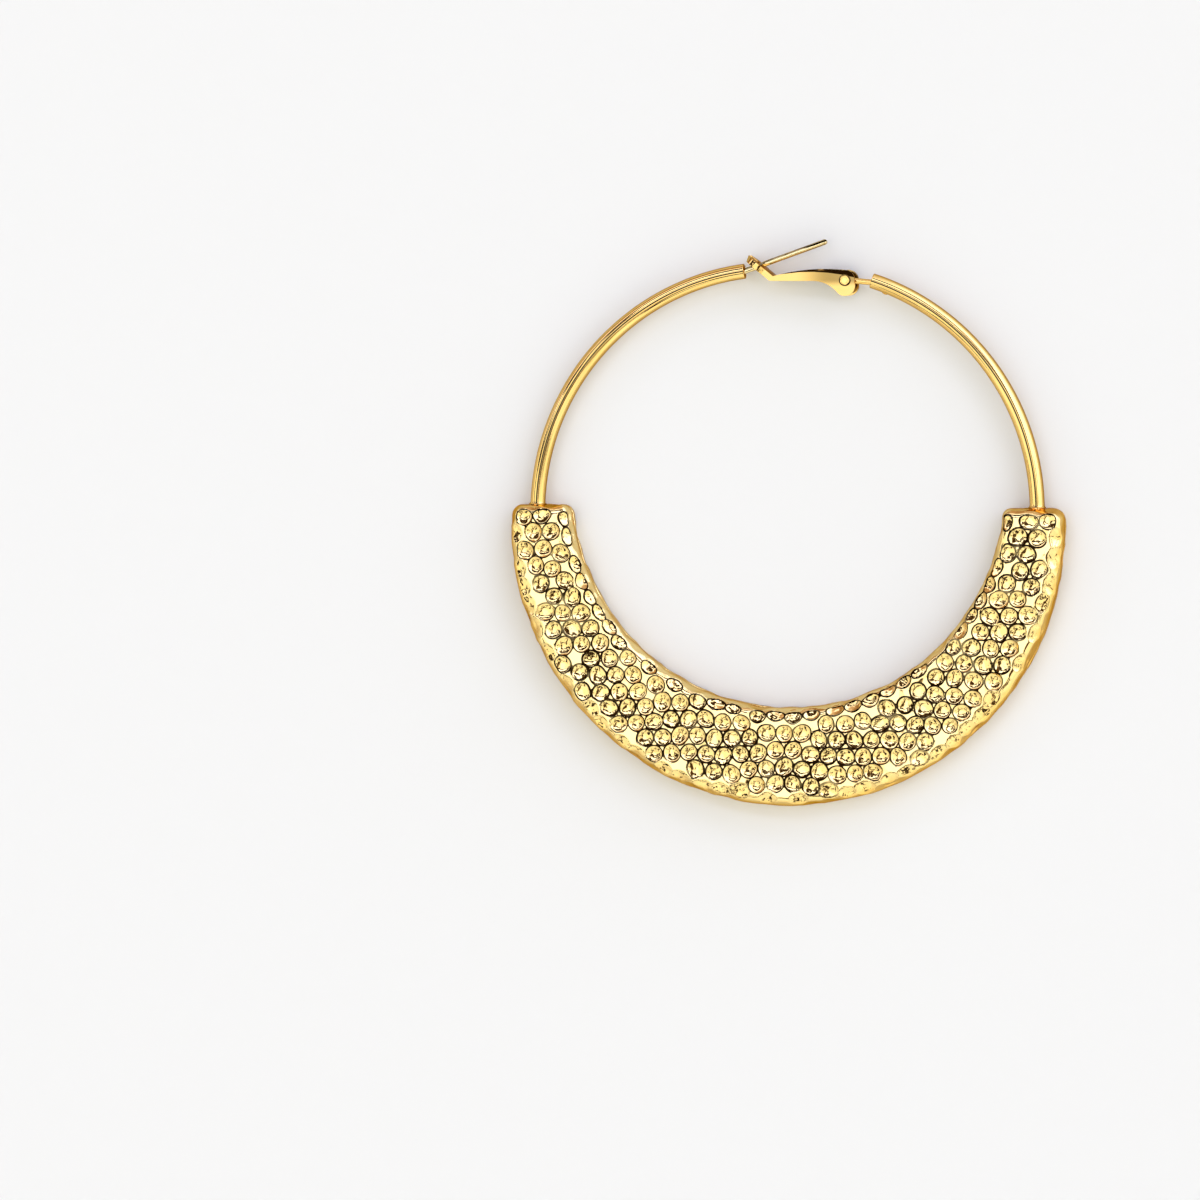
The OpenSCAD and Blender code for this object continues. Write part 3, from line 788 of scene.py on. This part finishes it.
def polished_gold():
    """Polished gold plate with faint clouds and fine wiping marks, and painted shade: deeper in colour in the
    dimples and on the sides, bronze in the side band's hollows, brown on the tubes' flanks, black along the
    rims and darker on the lever. A painted dark reflection runs along the middle of the tubes."""
    looks = bpy.context.scene.earring_finish
    finish, nodes = new_finish("polished gold")
    place = nodes.add("ShaderNodeTexCoord", {}, {}, "Object")
    struck, side, slant = nodes.stored("struck"), nodes.stored("side"), nodes.stored("slant")
    clouds = nodes.noise(place, 6 * MM, 3)
    # Random tone from the clouds; painted shade deepens the gold in the dimples and on the sides
    deeper = (clouds - 0.5) * 0.5 + struck * 0.2 + side * 0.7 + 0.15
    shade = nodes.blend(deeper, tuple(looks.gold), tuple(looks.toned_and_shaded_gold))
    # Painted shade: bronze in the side band's hollows
    shade = nodes.blend(nodes.stored("hollow") * 0.85, shade, tuple(looks.hollow_shade))
    # Painted shade: brown on the rods' flanks, which have the highest values of side
    flank = side.step(SOFT_SIDE + 0.05, ROD_SIDE + FLANK_MORE)
    shade = nodes.blend(flank * 0.6, shade, tuple(looks.flank_shade))
    # Painted shade: black along the dimples' sharp rims, broken into patches, less so round the shallow ones
    patchy = nodes.noise(place, 2.5 * MM, 2).step(0.3, 0.5) * 0.25 + 0.75
    rims = (1 - (nodes.stored("rim_gap") - ON_LINE).math("ABSOLUTE").step(0.5, 0.9)) * patchy
    rims = rims * (1 - nodes.stored("shallow") * 0.9)
    # Painted reflection: the dark line along the middle of the tubes' front and back
    middle = (1 - (slant - ON_LINE).math("ABSOLUTE").step(0.07, 0.14)) * 0.95
    # Painted shade: the lever is a little darker all over, and darkens upwards and towards its hinge
    x, y = place.parts()[:2]
    corner = y.step(looks.lever_low, looks.lever_high) * x.step(looks.lever_left, looks.lever_right)
    lever = nodes.stored("lever") * (corner * 0.42 + 0.24)
    # All the painted shade and painted reflections in black
    black = rims.math("MAXIMUM", middle).math("MAXIMUM", lever)
    shade = nodes.blend(black, shade, tuple(looks.painted_dark))
    wiping = nodes.noise(place * (1.0, 0.25, 1.0), 0.25 * MM, 4, 0.6)
    roughness = looks.polish + (wiping - 0.5) * 0.05 + struck * 0.02
    lumps = nodes.noise(place, 0.7 * MM, 1) * (struck * 3.0 + 0.12)
    bump = nodes.add("ShaderNodeBump", {}, {
        "Strength": 1.0, "Distance": 0.02 * MM,
        "Height": lumps + nodes.noise(place, 0.12 * MM, 1) * 0.02})
    metal(nodes, shade, roughness, bump, looks.edge_gold)
    return finish


def pale_gold():
    """The ear post's paler gold with fine drawn lines along the wire; painted shade in olive on its upper
    side, painted dark reflections in streaks along it, and a painted dark streak near its tip.
    """
    scene = bpy.context.scene
    looks, clasp, tubes = scene.earring_finish, scene.earring_clasp, scene.earring_tubes
    shift_y = scene.earring_crescent.shift_y
    finish, nodes = new_finish("pale gold")
    place = nodes.add("ShaderNodeTexCoord", {}, {}, "Object")
    turned = nodes.add("ShaderNodeMapping", {"vector_type": "TEXTURE"}, {
        "Vector": place, "Rotation": (0, 0, clasp.post_rise)})
    lines = nodes.noise(turned * (0.03, 1.0, 1.0), 0.08 * MM, 3)
    # Place on the wire, in radii above its middle line and in metres from its tube
    root = Matrix.Rotation(-clasp.post_rise, 2) @ Vector(
        np.array(tubes.post_c) + tubes.post_r * ray(tubes.post_end) + [0, shift_y])
    x, y = turned.parts()[:2]
    above = (y - root.y) / clasp.post_r
    along = x - root.x
    tint = nodes.noise(place, 1.5 * MM, 2)
    shade = nodes.blend((tint - 0.5) * 0.6 + 0.3, tuple(looks.pale_gold), tuple(looks.gold))
    # Painted dark reflections: streaks along the wire, more of them towards its upper side
    painted_streaks = nodes.noise(turned * (0.05, 1.0, 1.0), 0.16 * MM, 2) + above * 0.12
    # Painted shade: olive on the post's upper side
    shade = nodes.blend(above.step(-0.2, 0.5) * 0.5, shade, tuple(looks.post_top_shade))
    shade = nodes.blend(painted_streaks.step(0.56, 0.62) * 0.8, shade, tuple(looks.painted_dark))
    # Painted shade: a dark streak near the tip, on the post's upper side
    near_tip = along.step(clasp.post_len * 0.7, clasp.post_len * 0.8)
    painted_tip_shade = near_tip * above.step(0.0, 0.15) * (1 - above.step(0.6, 0.75))
    shade = nodes.blend(painted_tip_shade, shade, tuple(looks.painted_dark))
    bump = nodes.add("ShaderNodeBump", {}, {"Strength": 0.25, "Distance": 0.01 * MM, "Height": lines})
    metal(nodes, shade, looks.polish + 0.05 + (lines - 0.5) * 0.08, bump, looks.edge_gold)
    return finish


def finish_named(name):
    """The finish with that name, made when it is first asked for. Its slot has the same name."""
    makers = {"polished gold": polished_gold, "pale gold": pale_gold}
    return bpy.data.materials.get(name) or makers[name]()


# Pieces

def arm_angle(c, r, y):
    """Angle from the X axis at which a tube's centre line is y high; all in millimetres."""
    return math.asin((y - c[1] / MM) / (r / MM))


# Of a tube's path: the depth at which its solder starts, the distance between its points and the room
# left at either end, and the rounding of its turned end
SOLDER_IN, TUBE_STEP, START_ROOM, END_ROOM, END_ROUND = 0.05, 0.35, 0.3, 0.4, 0.06
SOLDER_STEPS, END_STEPS = 8, 4


def tube_path(c, r, end, side, t, top):
    """A tube's points and radii in millimetres: in its arm, its solder fillet and its turned end. Its
    centre line bends round c and ends at an angle; side is -1 for the left tube; arms end at top."""
    reach, tube = r / MM, t.tube_r / MM
    fillet, out = t.fillet / MM, t.fillet_out / MM
    low = arm_angle(c, r, top - t.tube_in / MM)
    mouth = arm_angle(c, r, top)
    total = abs((end if side > 0 else math.pi - end) - low) * reach
    enter = (mouth - low) * reach
    places = [(0, tube), (enter - 2 * SOLDER_IN, tube), (enter - SOLDER_IN, tube + out)]
    for part in np.linspace(0, 1, SOLDER_STEPS + 1):
        places.append((enter + fillet * part, tube + out * (1 - math.sqrt(1 - (1 - part) ** 2))))
    places += [(s, tube) for s in np.arange(enter + fillet + START_ROOM, total - END_ROOM, TUBE_STEP)]
    places.append((total - END_ROOM / 2, tube))
    for turn in np.linspace(0, math.pi / 2, END_STEPS + 1):
        places.append((total - END_ROUND * (1 - math.sin(turn)), tube - END_ROUND * (1 - math.cos(turn))))
    s, girth = np.array(places).T
    angle = low + s / reach
    if side < 0:
        angle = math.pi - angle
    return np.array(c) / MM + reach * np.column_stack([np.cos(angle), np.sin(angle)]), girth


# Depth in millimetres of a socket's first ring of points and of its floor
SOCKET_LIP, SOCKET_DEPTH = 0.1, 2.9


class EARRING_OT_crescent(Operator):
    """Build the hollow hammered crescent"""
    bl_idname = "earring.crescent"
    bl_label = "Hammered Crescent"

    def execute(self, context):
        s, t = context.scene.earring_crescent, context.scene.earring_tubes
        form = Crescent(s)
        plan, rims, longer, long_ways, balls, shallow = form.struck()
        middles = form.flattened(plan)
        hole_r = (t.tube_r + t.seat) / MM
        tubes = ((t.post_c, t.post_r, -1), (t.hinge_c, t.hinge_r, 1))
        at_top = [side * c[0] / MM + r / MM * math.cos(arm_angle(c, r, form.arm_top)) for c, r, side in tubes]
        dimples = middles, rims, longer, long_ways
        front, faces = form.sheet(*dimples, at_top, hole_r)
        back, back_faces = form.sheet(*dimples, at_top[::-1], hole_r)
        verts = np.concatenate([front, half_turn(back, form.thick)])
        faces = np.concatenate([faces, back_faces + len(front)])
        skin = new_piece("hammered_crescent", (verts + [0, form.shift_y, 0]) * MM, faces)
        self.solder(skin)

        def both(values, turned=1):
            """The values of the front's dimples, then those of the back's."""
            return np.concatenate([values, values * turned])

        seats, axes = form.leaning(plan)
        seats = np.concatenate([seats, half_turn(seats, form.thick)]) + [0, form.shift_y, 0]
        axes, rims = both(axes, [-1, 1, -1]), both(rims)
        # How far the dimples are stretched, as the length of a vector along their long way
        stretched = both(np.column_stack([long_ways, np.zeros(len(plan))]), [-1, 1, 1])
        stretched -= axes * (stretched * axes).sum(1)[:, None]
        stretched *= (np.sqrt(1 - 1 / both(longer)) / np.linalg.norm(stretched, axis=1))[:, None]
        points = new_piece("dimple_points", seats * MM)
        for name, values in (("rim", rims * MM), ("ball", both(balls) * MM), ("shallow", both(shallow)),
                             ("axis", axes), ("long", stretched)):
            put_values(points.data, name, values)
        # The dimple that each point belongs to, worked out in parts to spare memory
        owner = np.concatenate([
            (np.linalg.norm(part[:, None] - seats[None], axis=2) - rims).argmin(1)
            for part in np.array_split(values_of(skin.data, "co") / MM, 40)])
        put_values(skin.data, "dimple", owner)
        gold = finish_named("polished gold")
        grown(skin, skin_tree(), {
            "Dimple points": points, "Softness": s.softness, "Wander": s.wander, "Ripple": s.ripple,
            "Ripple size": s.ripple_size, "Facets": s.facets, "Facet size": s.facet_size,
            "Pitting": s.pitting, "Seed": s.seed, "Finish": gold})
        skin.data.attributes.remove(skin.data.attributes["dimple"])
        bpy.data.objects.remove(points)
        self.line_sockets(skin, form, tubes, s.shift_y / MM)
        finished(skin, "hoop", gold, "crescent")
        return {"FINISHED"}

    def solder(self, skin):
        """Joins the two half shells at their seam."""
        cage = bmesh.new()
        cage.from_mesh(skin.data)
        bmesh.ops.remove_doubles(cage, verts=[v for v in cage.verts if v.is_boundary], dist=4 * SAME)
        cage.to_mesh(skin.data)
        cage.free()

    def line_sockets(self, skin, form, tubes, shift):
        """Gives each tube's hole the walls and the floor of a blind socket."""
        cage = bmesh.new()
        cage.from_mesh(skin.data)
        for c, r, side in tubes:
            rim = [e for e in cage.edges if e.is_boundary and e.verts[0].co.x * side > 0]
            rim = [e for e in rim if e.verts[0].co.y > (form.arm_top / 2 + shift) * MM]
            if len(rim) != 2 * (form.HOLE_POINTS - 1):
                raise RuntimeError(f"the seam is open: {len(rim)} edges round a tube's hole")
            at = form.arm_top - np.array([SOCKET_LIP, *SOCKET_DEPTH * np.arange(1, 5) / 4])
            old_x = c[0] / MM + side * r / MM * math.cos(arm_angle(c, r, form.arm_top))
            for y in at:
                grown_rim = bmesh.ops.extrude_edge_only(cage, edges=rim)["geom"]
                x = c[0] / MM + side * r / MM * math.cos(arm_angle(c, r, y))
                for v in grown_rim:
                    if isinstance(v, bmesh.types.BMVert):
                        v.co.x += (x - old_x) * MM
                        v.co.y = (y + shift) * MM
                old_x = x
                rim = [e for e in grown_rim if isinstance(e, bmesh.types.BMEdge)]
            bmesh.ops.holes_fill(cage, edges=rim, sides=0)
        bmesh.ops.recalc_face_normals(cage, faces=cage.faces)
        cage.to_mesh(skin.data)
        cage.free()


class EARRING_OT_tubes(Operator):
    """Bend the post tube and the hinge tube"""
    bl_idname = "earring.tubes"
    bl_label = "Bent Tubes"

    # Sides of a tube's mesh, and the bead's length as a share of its width
    SIDES, BEAD_LONG = 96, 1.6

    def execute(self, context):
        t, gold = context.scene.earring_tubes, finish_named("polished gold")
        top = context.scene.earring_crescent.arm_top / MM
        way = tube_path(t.post_c, t.post_r, t.post_end, -1, t, top)
        left = drawn("bent_post_tube", *way, gold, self.SIDES)
        finished(left, "hoop", gold, "post_tube", sharp=50)
        way = tube_path(t.hinge_c, t.hinge_r, t.hinge_end, 1, t, top)
        right = drawn("bent_hinge_tube", *way, gold, self.SIDES)
        # The solder bead, an egg that lies along the tube
        bead_at = (t.hinge_r - t.tube_r - t.bead_out + t.bead_r) / MM
        bead = np.array(t.hinge_c) / MM + bead_at * ray(t.bead_angle)
        turns = np.linspace(-math.pi / 2, math.pi / 2, 15)[1:-1]
        along = np.array([math.sin(t.bead_angle), -math.cos(t.bead_angle)])
        drop = drawn("bead", bead + np.sin(turns)[:, None] * along * t.bead_r / MM * self.BEAD_LONG,
                     np.cos(turns) * t.bead_r / MM, gold, 32)
        right = joined("bent_hinge_tube", [right, drop])
        finished(right, "hoop", gold, "hinge_tube", sharp=50)
        return {"FINISHED"}


class EARRING_OT_ear_post(Operator):
    """Draw the ear post with its click groove and round tip"""
    bl_idname = "earring.ear_post"
    bl_label = "Ear Post"

    def execute(self, context):
        t, c = context.scene.earring_tubes, context.scene.earring_clasp
        way = ray(c.post_rise)
        root = np.array(t.post_c) / MM + t.post_r / MM * ray(t.post_end)
        r, long = c.post_r / MM, c.post_len / MM
        start, end = (c.catch_at + c.groove_from) / MM, (c.catch_at + c.groove_to) / MM
        # The groove's floor is an arc of the radius bow
        half, deep = (end - start) / 2, c.groove_depth / MM
        bow = (half * half / deep + deep) / 2
        places = [(-c.wire_in / MM, r), (start, r)]
        for part in np.linspace(-1, 1, 17)[1:-1]:
            sunk = deep - bow + math.sqrt(bow ** 2 - (half * part) ** 2)
            places.append((start + half * (1 + part), r - sunk))
        places += [(end, r)] + [(s, r) for s in np.linspace(end, long - r, 12)[1:]]
        places += [(long - r + r * math.sin(turn), r * math.cos(turn))
                   for turn in np.linspace(0, math.pi / 2, 12)[1:-1]]
        # The tip closes in a cap of a hundredth of a millimetre
        places.append((long - 0.0005, 0.01))
        s, girth = np.array(places).T
        pale = finish_named("pale gold")
        post = drawn("round_ear_post", root + s[:, None] * way, girth, pale, 48)
        finished(post, "hoop", pale, "ear_post", sharp=60)
        return {"FINISHED"}


# Of a softened piece: the angle in degrees up to which two faces become one, the steps of an edge's
# rounding, and the angle in degrees from which a corner is hollow
FLAT_ANGLE, ROUND_STEPS, HOLLOW_ANGLE = 1.2, 5, 20


def softened(node, name, body, width, wide=None, sharp=35):
    """A copy of a node's solid with merged faces and rounded edges, width metres wide. wide gives
    other widths for some edges, from their two ends in metres. Edges under sharp degrees stay sharp."""
    cage = bmesh.new()
    cage.from_mesh(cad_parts[node].data)
    bmesh.ops.remove_doubles(cage, verts=cage.verts, dist=SAME)
    bmesh.ops.dissolve_limit(cage, angle_limit=math.radians(FLAT_ANGLE), verts=cage.verts,
                             edges=cage.edges)
    bmesh.ops.recalc_face_normals(cage, faces=cage.faces)
    layer = cage.edges.layers.float.new("bevel_weight_edge")
    widths = {edge: (wide(*(v.co for v in edge.verts)) if wide else None) or width for edge in cage.edges
              if edge.is_manifold and edge.calc_face_angle(0) > math.radians(sharp)}
    widest = max(widths.values())
    for edge, value in widths.items():
        edge[layer] = value / widest
    mesh = bpy.data.meshes.new(name)
    cage.to_mesh(mesh)
    cage.free()
    obj = bpy.data.objects.new(name, mesh)
    bpy.context.scene.collection.objects.link(obj)
    bevel = obj.modifiers.new("Edges", "BEVEL")
    bevel.limit_method, bevel.width, bevel.segments = "WEIGHT", widest, ROUND_STEPS
    bevel.use_clamp_overlap = True
    bevel.loop_slide = False
    even = obj.modifiers.new("Even", "WEIGHTED_NORMAL")
    even.keep_sharp = True
    evaluated = obj.evaluated_get(bpy.context.evaluated_depsgraph_get())
    solid = bpy.data.meshes.new_from_object(evaluated)
    obj.modifiers.clear()
    obj.data = solid
    bpy.data.meshes.remove(mesh)
    solid.name = name
    # A side value all over the piece, which paints it a deeper gold as shade
    put_values(solid, "side", np.full(len(solid.vertices), SOFT_SIDE))
    # Painted shade: black in the hollow corners
    put_values(solid, "rim_gap", ON_LINE - 1 + in_corner(solid))
    return finished(obj, body, finish_named("polished gold"), node, sharp=50)


def in_corner(mesh):
    """For each point, 1 where it lies in a hollow corner, and 0 where it doesn't."""
    cage = bmesh.new()
    cage.from_mesh(mesh)
    cage.verts.index_update()
    found = np.zeros(len(cage.verts))
    for edge in cage.edges:
        if edge.is_manifold and edge.calc_face_angle_signed(0) < -math.radians(HOLLOW_ANGLE):
            for v in edge.verts:
                found[v.index] = 1
    cage.free()
    return found


class EARRING_OT_hinge_tongue(Operator):
    """Make the tongue with the hinge's knuckle"""
    bl_idname = "earring.hinge_tongue"
    bl_label = "Hinge Tongue"

    def execute(self, context):
        c = context.scene.earring_clasp
        softened("hinge_tongue", "rounded_tongue", "hoop", c.edge_round)
        return {"FINISHED"}


class EARRING_OT_catch_lever(Operator):
    """Make the lever with its horseshoe catch"""
    bl_idname = "earring.catch_lever"
    bl_label = "Catch Lever"

    def execute(self, context):
        c = context.scene.earring_clasp
        s, t = context.scene.earring_crescent, context.scene.earring_tubes
        hole = (np.array(t.post_c) + t.post_r * ray(t.post_end) + c.catch_at * ray(c.post_rise)
                + [0, s.shift_y])
        across = ray(c.catch_dir + math.pi / 2)

        def plate_round(*ends):
            """The catch plate's own edges are rounder than the lever's."""
            off = np.array([p[:2] for p in ends]) - hole
            on_face = np.abs(np.abs(off @ across) - c.catch_thick / 2) < 0.02 * MM
            return c.catch_round if (on_face & (off @ ray(c.catch_dir) > -c.catch_neck)).all() else None

        lever = softened("catch_lever", "rounded_lever", "lever", c.edge_round, plate_round, sharp=20)
        # Marks the lever for its painted shade
        put_values(lever.data, "lever", np.ones(len(lever.data.vertices)))
        return {"FINISHED"}


class EARRING_OT_hinge_rivet(Operator):
    """Make the rivet with its pressed rings"""
    bl_idname = "earring.hinge_rivet"
    bl_label = "Hinge Rivet"

    # Share of a head's radius beyond which it is painted black, as shade
    RING = 0.96

    def execute(self, context):
        c = context.scene.earring_clasp
        rivet = softened("hinge_rivet", "pressed_rivet", "lever", c.edge_round / 3)
        # Painted shade: a black ring round each head, where it meets the lever
        plan = values_of(rivet.data, "co")[:, :2]
        wide = np.hypot(*(plan - (plan.min(0) + plan.max(0)) / 2).T)
        values = rivet.data.attributes["rim_gap"].data
        for k in np.flatnonzero(wide > wide.max() * self.RING):
            values[k].value = ON_LINE
        return {"FINISHED"}


# Stage

# The way in which the earring's face mirrors whoever stands where the photograph was taken from
FACE_MIRRORS = (-0.182, -0.044, 0.982)


def studio_light(key, warm, cool, dark_tint):
    """Soft light overhead, brighter at the picture's top, with the dark gaps of a studio in it. Their
    places are angles in degrees from FACE_MIRRORS and round it in plan."""
    world = bpy.data.worlds.new("studio")
    world.use_nodes = True
    world.node_tree.nodes.clear()
    nodes = Nodes(world.node_tree)
    way = nodes.add("ShaderNodeTexCoord", {}, {}, "Generated")
    x, y = way.parts()[:2]
    across = (x * x + y * y + 0.0001).math("SQRT")
    off_face = way.dot(FACE_MIRRORS).math("MINIMUM", 1).math("ARCCOSINE") * math.degrees(1)
    grain = nodes.add("ShaderNodeTexNoise", {}, {"Vector": way, "Scale": 4.8, "Detail": 1.0})
    clouds = nodes.add("ShaderNodeTexNoise", {}, {"Vector": way, "Scale": 2.6, "Detail": 1.0})

    def towards(angle):
        """1 on the side that lies at that angle in plan, down to -1 on the other side."""
        return (x * cosd(angle) + y * sind(angle)) / across

    def band(angle, low, high, soft):
        """1 between two angles, and 0 beyond them."""
        return angle.step(low - soft, low) * (1 - angle.step(high, high + soft))

    # A bright sheet towards the top, and a patch that the face mirrors
    sheet = (y + x * 0.1).step(-0.06, 0.36)
    patch = 1 - off_face.step(9, 17)
    bright = (sheet * 0.62).math("MAXIMUM", patch * 0.25)
    strength = bright * (1 - off_face.step(66, 78) * 0.6) + 0.92
    # The camera and its stand are a dark upright strip
    beside = (x - 0.2 - y * 0.25 + (grain - 0.5) * 0.3).math("ABSOLUTE")
    strip = (1 - beside.step(0.07, 0.11)) * (1 - y.math("ABSOLUTE").step(0.36, 0.44)) * 0.97
    left_wall = off_face.step(44, 80) * towards(180).step(-0.2, 0.6) * 0.5
    dim_clouds = clouds.step(0.38, 0.62) * off_face.step(30, 46) * 0.15
    far_gap = band(off_face, 64, 100, 4) * 0.6 * towards(120).step(0.6, 0.85)
    near_gap = band(off_face + (grain - 0.5) * 12, 42, 54, 1.5) * towards(105).step(0.55, 0.75)
    specks = (grain + sheet * 0.05).step(0.582, 0.6) * band(off_face, 14, 54, 4)
    lit = 1 - left_wall
    for dark in (dim_clouds, far_gap, near_gap, strip, specks):
        lit = lit * (1 - dark)
    tint = nodes.blend(bright / 0.5, tuple(warm), tuple(cool))
    tint = nodes.blend(lit.step(0, 0.75), tuple(dark_tint), tint)
    nodes.add("ShaderNodeOutputWorld", {}, {"Surface": nodes.add("ShaderNodeBackground", {}, {
        "Color": tint, "Strength": strength * (lit * 0.98 + 0.02) * key})})
    bpy.context.scene.world = world


class EARRING_OT_stage(Operator):
    """Set the pale floor, the soft light and the camera"""
    bl_idname = "earring.stage"
    bl_label = "Stage"

    # Sides of the round floor, and its radius in metres
    FLOOR_SIDES, FLOOR_R = 96, 4
    # Where the outer edge's centre shows in the photograph, in pixels right of its middle and above it
    CENTRE_RIGHT, CENTRE_UP = 187, 75
    # Width of the camera's film in millimetres, and the range in metres in which it sees
    FILM, SEEN = 36, (0.01, 20)

    def execute(self, context):
        s, looks = context.scene.earring_crescent, context.scene.earring_stage
        turns = np.linspace(0, 2 * math.pi, self.FLOOR_SIDES + 1)[:-1]
        ring = np.column_stack([np.cos(turns), np.sin(turns), np.zeros(self.FLOOR_SIDES)])
        floor = new_piece("floor", ring * self.FLOOR_R, [range(self.FLOOR_SIDES)])
        finish, nodes = new_finish("floor")
        place = nodes.add("ShaderNodeTexCoord", {}, {}, "Object")
        roughness = 0.45 + (nodes.noise(place, 10 * MM, 3) - 0.5) * 0.06
        # Painted shade: polished metal mirrors a dimmer floor than the camera sees
        mirrored = nodes.add("ShaderNodeLightPath", {}, {}, "Is Glossy Ray")
        shade = nodes.blend(mirrored, tuple(looks.floor), tuple(looks.shaded_floor_in_gold))
        shader = nodes.add("ShaderNodeBsdfPrincipled", {}, {
            "Base Color": shade, "Roughness": roughness, "Specular IOR Level": 0.15})
        nodes.add("ShaderNodeOutputMaterial", {}, {"Surface": shader})
        floor.data.materials.append(finish)
        studio_light(looks.key, looks.warm, looks.cool, looks.dark_tint)
        self.camera(context, s, looks)
        context.scene.view_settings.view_transform = "Standard"
        return {"FINISHED"}

    def camera(self, context, s, looks):
        """Stands where the photograph was taken from, and frames the earring as it does."""
        back = Vector((math.sin(looks.yaw) * math.cos(looks.rise), math.sin(looks.rise),
                       math.cos(looks.yaw) * math.cos(looks.rise)))
        up = (Vector((0, 1, 0)) - back * back.y).normalized()
        right = up.cross(back)
        pixel = looks.span / PHOTO_WIDE
        centre = Vector((0, s.shift_y, s.thick / 2))
        aim = centre - right * self.CENTRE_RIGHT * pixel - up * self.CENTRE_UP * pixel
        eye = centre + back * looks.distance
        lens = bpy.data.cameras.new("camera")
        lens.sensor_width = self.FILM
        lens.lens = self.FILM * looks.distance / looks.span
        lens.clip_start, lens.clip_end = self.SEEN
        camera = bpy.data.objects.new("camera", lens)
        view = (eye - aim).normalized()
        tall = (up - view * up.dot(view)).normalized()
        turned = Matrix((tall.cross(view), tall, view)).transposed()
        camera.matrix_world = Matrix.Translation(eye) @ turned.to_4x4()
        context.scene.collection.objects.link(camera)
        context.scene.camera = camera


class EARRING_PT_panel(Panel):
    """Sizes, looks and builders of the earring"""
    bl_idname = "EARRING_PT_panel"
    bl_label = "Half Hoop Earring"
    bl_space_type = "VIEW_3D"
    bl_region_type = "UI"
    bl_category = "Earring"

    def draw(self, context):
        for name, (group, label, makers) in GROUPS.items():
            box = self.layout.box()
            box.label(text=label)
            settings = getattr(context.scene, name)
            for prop in group.__annotations__:
                box.prop(settings, prop)
            for maker in makers:
                box.operator(maker.bl_idname)


GROUPS = {
    "earring_crescent": (CrescentSizes, "Crescent", [EARRING_OT_crescent]),
    "earring_tubes": (TubeSizes, "Tubes", [EARRING_OT_tubes]),
    "earring_clasp": (ClaspSizes, "Clasp", [EARRING_OT_ear_post, EARRING_OT_hinge_tongue,
                                            EARRING_OT_catch_lever, EARRING_OT_hinge_rivet]),
    "earring_finish": (FinishLooks, "Finish", []),
    "earring_stage": (StageLooks, "Stage", [EARRING_OT_stage]),
}
OPERATORS = [maker for _, _, makers in GROUPS.values() for maker in makers]


def register():
    """Adds the sizes, the builders and the panel."""
    for group, _, _ in GROUPS.values():
        bpy.utils.register_class(group)
    for kind in [*OPERATORS, EARRING_PT_panel]:
        bpy.utils.register_class(kind)
    for name, (group, _, _) in GROUPS.items():
        setattr(bpy.types.Scene, name, PointerProperty(type=group))


def unregister():
    """Takes them away again."""
    for name in GROUPS:
        delattr(bpy.types.Scene, name)
    for kind in [EARRING_PT_panel, *reversed(OPERATORS)]:
        bpy.utils.unregister_class(kind)
    for group, _, _ in GROUPS.values():
        bpy.utils.unregister_class(group)


def main():
    """Builds the earring and its stage."""
    register()
    bpy.ops.earring.crescent()
    bpy.ops.earring.tubes()
    bpy.ops.earring.ear_post()
    bpy.ops.earring.hinge_tongue()
    bpy.ops.earring.catch_lever()
    bpy.ops.earring.hinge_rivet()
    bpy.ops.earring.stage()


if __name__ == "__main__":
    main()
